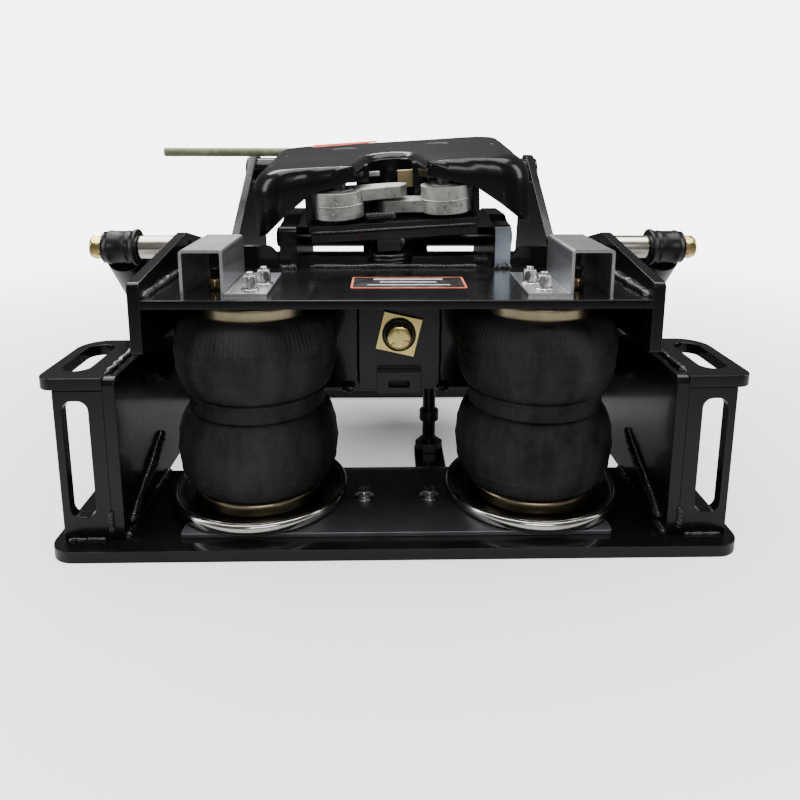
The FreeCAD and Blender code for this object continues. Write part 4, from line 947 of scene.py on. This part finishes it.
BLACK_PLATES = (
    ["base_plate_rear", "base_plate_front", "upper_plate", "rocker_cross_rear", "rocker_cross_front",
     "bump_block", "tower_bar", "limit_rod", "limit_nuts"]
    + [f"{part}_{side}" for part in ("side_plate", "front_tower", "rocker_side", "head_tower", "shock_cover",
                                     "shock_body") for side in ("left", "right")]
    + [f"{part}_{end}_{side}" for part in ("end_plate", "grip_plate") for end in ("rear", "front")
       for side in ("left", "right")]
)


def make_plates():
    """Black plates with eased edges, bare metal parts, and the channels' sawn ends."""
    for node in BLACK_PLATES:
        eased(node, 0.0011)
    eased("spring_mount_plate", 0.0006, SATIN_ALUMINIUM)
    eased("pivot_shafts", 0.001, ZINC)
    eased("shock_low_pins", 0.001, YELLOW)
    eased("pivot_bushings", 0.0005, BRASS)
    eased("limit_bumper", 0.0015, BUSH, 3)
    for side_name, side in SIDES:
        eased(f"channel_cover_{side_name}", 0.0003, MILL_ALUMINIUM)
        low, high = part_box(f"channel_cover_{side_name}")
        make_cut_end(side_name, side, low, high)
    # A pale blue-grey strip over the rear edge face of the right tower; the left tower has none.
    face_low, face_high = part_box("head_tower_right")
    left, right, low, high = face_low.x + 0.001, face_high.x - 0.001, 0.2545, 0.3005
    strip = [(left, low), (left, high), (right, high), (right, low)]
    rear = face_low.y
    prism("pale_tower_edge_strip", [(x, rear - 0.0003, z) for x, z in strip],
          [(x, rear + 0.0005, z) for x, z in strip], PALE_STRIP_METAL, "rocker", "black_powder_coat")


def make_cut_end(side_name, side, low, high):
    """The bright sawn rear end of a channel, as a thin skin over its section."""
    wall, roof, foot = 0.003, high.z, 0.127
    outer, inner = max(abs(low.x), abs(high.x)), 0.171
    section = [(inner, low.z + wall), (inner, roof - wall), (outer - wall, roof - wall),
               (outer - wall, low.z), (outer, low.z), (outer, roof - wall), (outer - wall, roof),
               (inner, roof), (inner - wall, roof - wall), (inner - wall, low.z + wall),
               (foot, low.z + wall), (foot, low.z), (inner, low.z)]
    rear = low.y - 0.0002
    prism(f"sawn_end_{side_name}", [(side * x, rear, z) for x, z in section],
          [(side * x, rear + 0.0006, z) for x, z in section], CUT_ALUMINIUM, "rocker", "mill_aluminium")


def bar(name, low, high, height, material, body, slot, corner=0.0015):
    """A thin rounded rectangle lying on a surface, between two corners (x, y)."""
    angle = np.linspace(0, math.pi / 2, 6)
    reach = np.array(high) - np.array(low)
    corner = min(corner, reach.min() / 2.01)
    centres = [(high[0] - corner, high[1] - corner), (low[0] + corner, high[1] - corner),
               (low[0] + corner, low[1] + corner), (high[0] - corner, low[1] + corner)]
    rim = np.vstack([np.array(centre) + corner * np.stack([np.cos(angle + k * math.pi / 2),
                                                          np.sin(angle + k * math.pi / 2)], 1)
                     for k, centre in enumerate(centres)])
    bottom, top = height
    prism(name, [(*point, bottom) for point in rim], [(*point, top) for point in rim], material, body, slot)


def make_label():
    """A black film with an orange border and plain grey bars, with no lettering."""
    low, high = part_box("label_plate")
    top = high.z
    frame["nodes"]["label_plate"].data.materials.clear()
    frame["nodes"]["label_plate"].data.materials.append(PRINT_ORANGE)
    edge = 0.0022
    bar("label_field", (low.x + edge, low.y + edge), (high.x - edge, high.y - edge), (top, top + 0.00012),
        PRINT_BLACK, "rocker", "label")
    rows = ((0.78, 0.2, 0.62), (0.52, 0.14, 0.5), (0.26, 0.12, 0.72))
    width, depth = high.x - low.x, high.y - low.y
    for i, (level, thick, share) in enumerate(rows):
        y = low.y + level * depth
        middle = (low.x + high.x) / 2
        bar(f"label_bar_{i}", (middle - width * share / 2, y - depth * thick / 3),
            (middle + width * share / 2, y + depth * thick / 3), (top + 0.0001, top + 0.0002), PRINT_GREY,
            "rocker", "label", 0.001)


# ---------------------------------------------------------------- weld beads

BASE_TOP, UPPER_TOP = 0.012, 0.2545
CROSS_REAR, CROSS_FRONT = -0.1445, 0.0445
INNER, OUTER = 0.271, 0.283
ROCKER_IN, ROCKER_OUT = 0.245, 0.257
BEADS = [
    ("side_foot", (INNER, -0.316, BASE_TOP), (INNER, -0.172, BASE_TOP), 0.0048, "base"),
    ("side_foot_out", (OUTER, -0.304, BASE_TOP), (OUTER, -0.176, BASE_TOP), 0.0045, "base"),
    ("front_foot", (INNER, 0.094, BASE_TOP), (INNER, 0.316, BASE_TOP), 0.0048, "base"),
    ("front_foot_out", (OUTER, 0.094, BASE_TOP), (OUTER, 0.304, BASE_TOP), 0.0045, "base"),
    ("tower_foot", (0.225, 0.104, BASE_TOP), (0.225, 0.315, BASE_TOP), 0.0045, "base"),
    ("tower_foot_out", (0.237, 0.104, BASE_TOP), (0.237, 0.315, BASE_TOP), 0.0045, "base"),
    ("grip_rear", (0.2825, -0.304, 0.18), (0.2825, -0.196, 0.18), 0.0042, "base"),
    ("grip_front", (0.2825, 0.196, 0.18), (0.2825, 0.304, 0.18), 0.0042, "base"),
    ("end_rear_low", (0.2835, -0.3182, 0.02), (0.2835, -0.3182, 0.042), 0.0028, "base"),
    ("end_foot", (0.29, -0.3182, BASE_TOP), (0.326, -0.3182, BASE_TOP), 0.003, "base"),
    ("end_front", (0.2835, 0.3185, 0.02), (0.2835, 0.3185, 0.16), 0.004, "base"),
    ("side_inside", (INNER, -0.3, 0.02), (INNER, -0.19, 0.07), 0.006, "base"),
    ("upper_edge", (ROCKER_IN, -0.298, UPPER_TOP), (ROCKER_IN, -0.19, UPPER_TOP), 0.0055, "rocker"),
    ("upper_edge_2", (ROCKER_IN, -0.186, UPPER_TOP), (ROCKER_IN, -0.15, UPPER_TOP), 0.005, "rocker"),
    ("upper_under", (ROCKER_IN, -0.3, 0.2445), (ROCKER_IN, -0.15, 0.2445), 0.004, "rocker"),
    ("cross_side", (ROCKER_IN, CROSS_REAR, 0.112), (ROCKER_IN, CROSS_REAR, 0.24), 0.0045, "rocker"),
    ("cross_low", (0.2, CROSS_REAR, 0.1065), (0.14, CROSS_REAR, 0.1065), 0.0035, "rocker"),
    ("cross_front_side", (ROCKER_IN, CROSS_FRONT, 0.112), (ROCKER_IN, CROSS_FRONT, 0.22), 0.0045, "rocker"),
    ("tower_root", (0.115, -0.15, UPPER_TOP), (0.135, -0.15, UPPER_TOP), 0.005, "rocker"),
    ("tower_out", (0.1355, -0.134, 0.25), (0.1355, -0.134, 0.12), 0.0045, "rocker"),
    ("tower_in_front", (0.1355, CROSS_FRONT, 0.12), (0.1355, CROSS_FRONT, 0.22), 0.0045, "rocker"),
    ("bush_ring_low", (ROCKER_OUT, 0.232, 0.1), (ROCKER_OUT, 0.268, 0.1), 0.002, "rocker"),
    ("tube_weld", (0.2375, 0.245, 0.3675), (0.2375, 0.263, 0.3595), 0.003, "base"),
]


def make_welds():
    """The beads of BEADS, (name, start, end, size, body), drawn for the right and mirrored to the left."""
    seed = 10
    for side_name, side in SIDES:
        mirror = np.array([side, 1, 1])
        for name, start, end, size, body in BEADS:
            seed += 1
            weld(f"weld_{name}_{side_name}", mirror * start, mirror * end, size, body, seed)
        corner = [(side * 0.05, -0.1505, 0.1065), (side * 0.065, -0.147, 0.1065)]
        weld(f"weld_blob_{side_name}", *corner, 0.005, "rocker", seed + 50)
    weld("weld_doubler_left", (-0.043, CROSS_REAR, 0.11), (-0.043, CROSS_REAR, 0.24), 0.0035, "rocker", 71)
    weld("weld_doubler_right", (0.052, CROSS_REAR, 0.11), (0.052, CROSS_REAR, 0.24), 0.0035, "rocker", 72)
    weld("weld_upper_far", (-0.1, CROSS_REAR, UPPER_TOP), (0.1, CROSS_REAR, UPPER_TOP), 0.004, "rocker", 73)
    apron = on_head(np.array([[-96, -78.4, 28], [96, -78.4, 28]]))
    weld("weld_apron", apron[0], apron[1], 0.0022, "head", 74)


# ---------------------------------------------------------------- floor and assembly

def make_floor():
    """A wide floor, which belongs to the stage."""
    reach = 6.0
    corners = [(-reach, -reach, 0), (reach, -reach, 0), (reach, reach, 0), (-reach, reach, 0)]
    floor = add_piece("floor", corners, [(0, 1, 2, 3)], floor_paint(), None, None, False)
    floor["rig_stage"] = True


make_camera()
make_lights()
make_floor()
make_air_springs()
make_skid_plate()
make_skid_details()
make_head_castings()
make_springs()
make_fasteners()
make_centre_bolt()
make_shock_fittings()
make_plates()
make_label()
make_welds()

boxes = {"cad": CAD_BOX, "visual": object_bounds()}
{key: [[float(c) for c in corner] for corner in box] for key, box in boxes.items()}
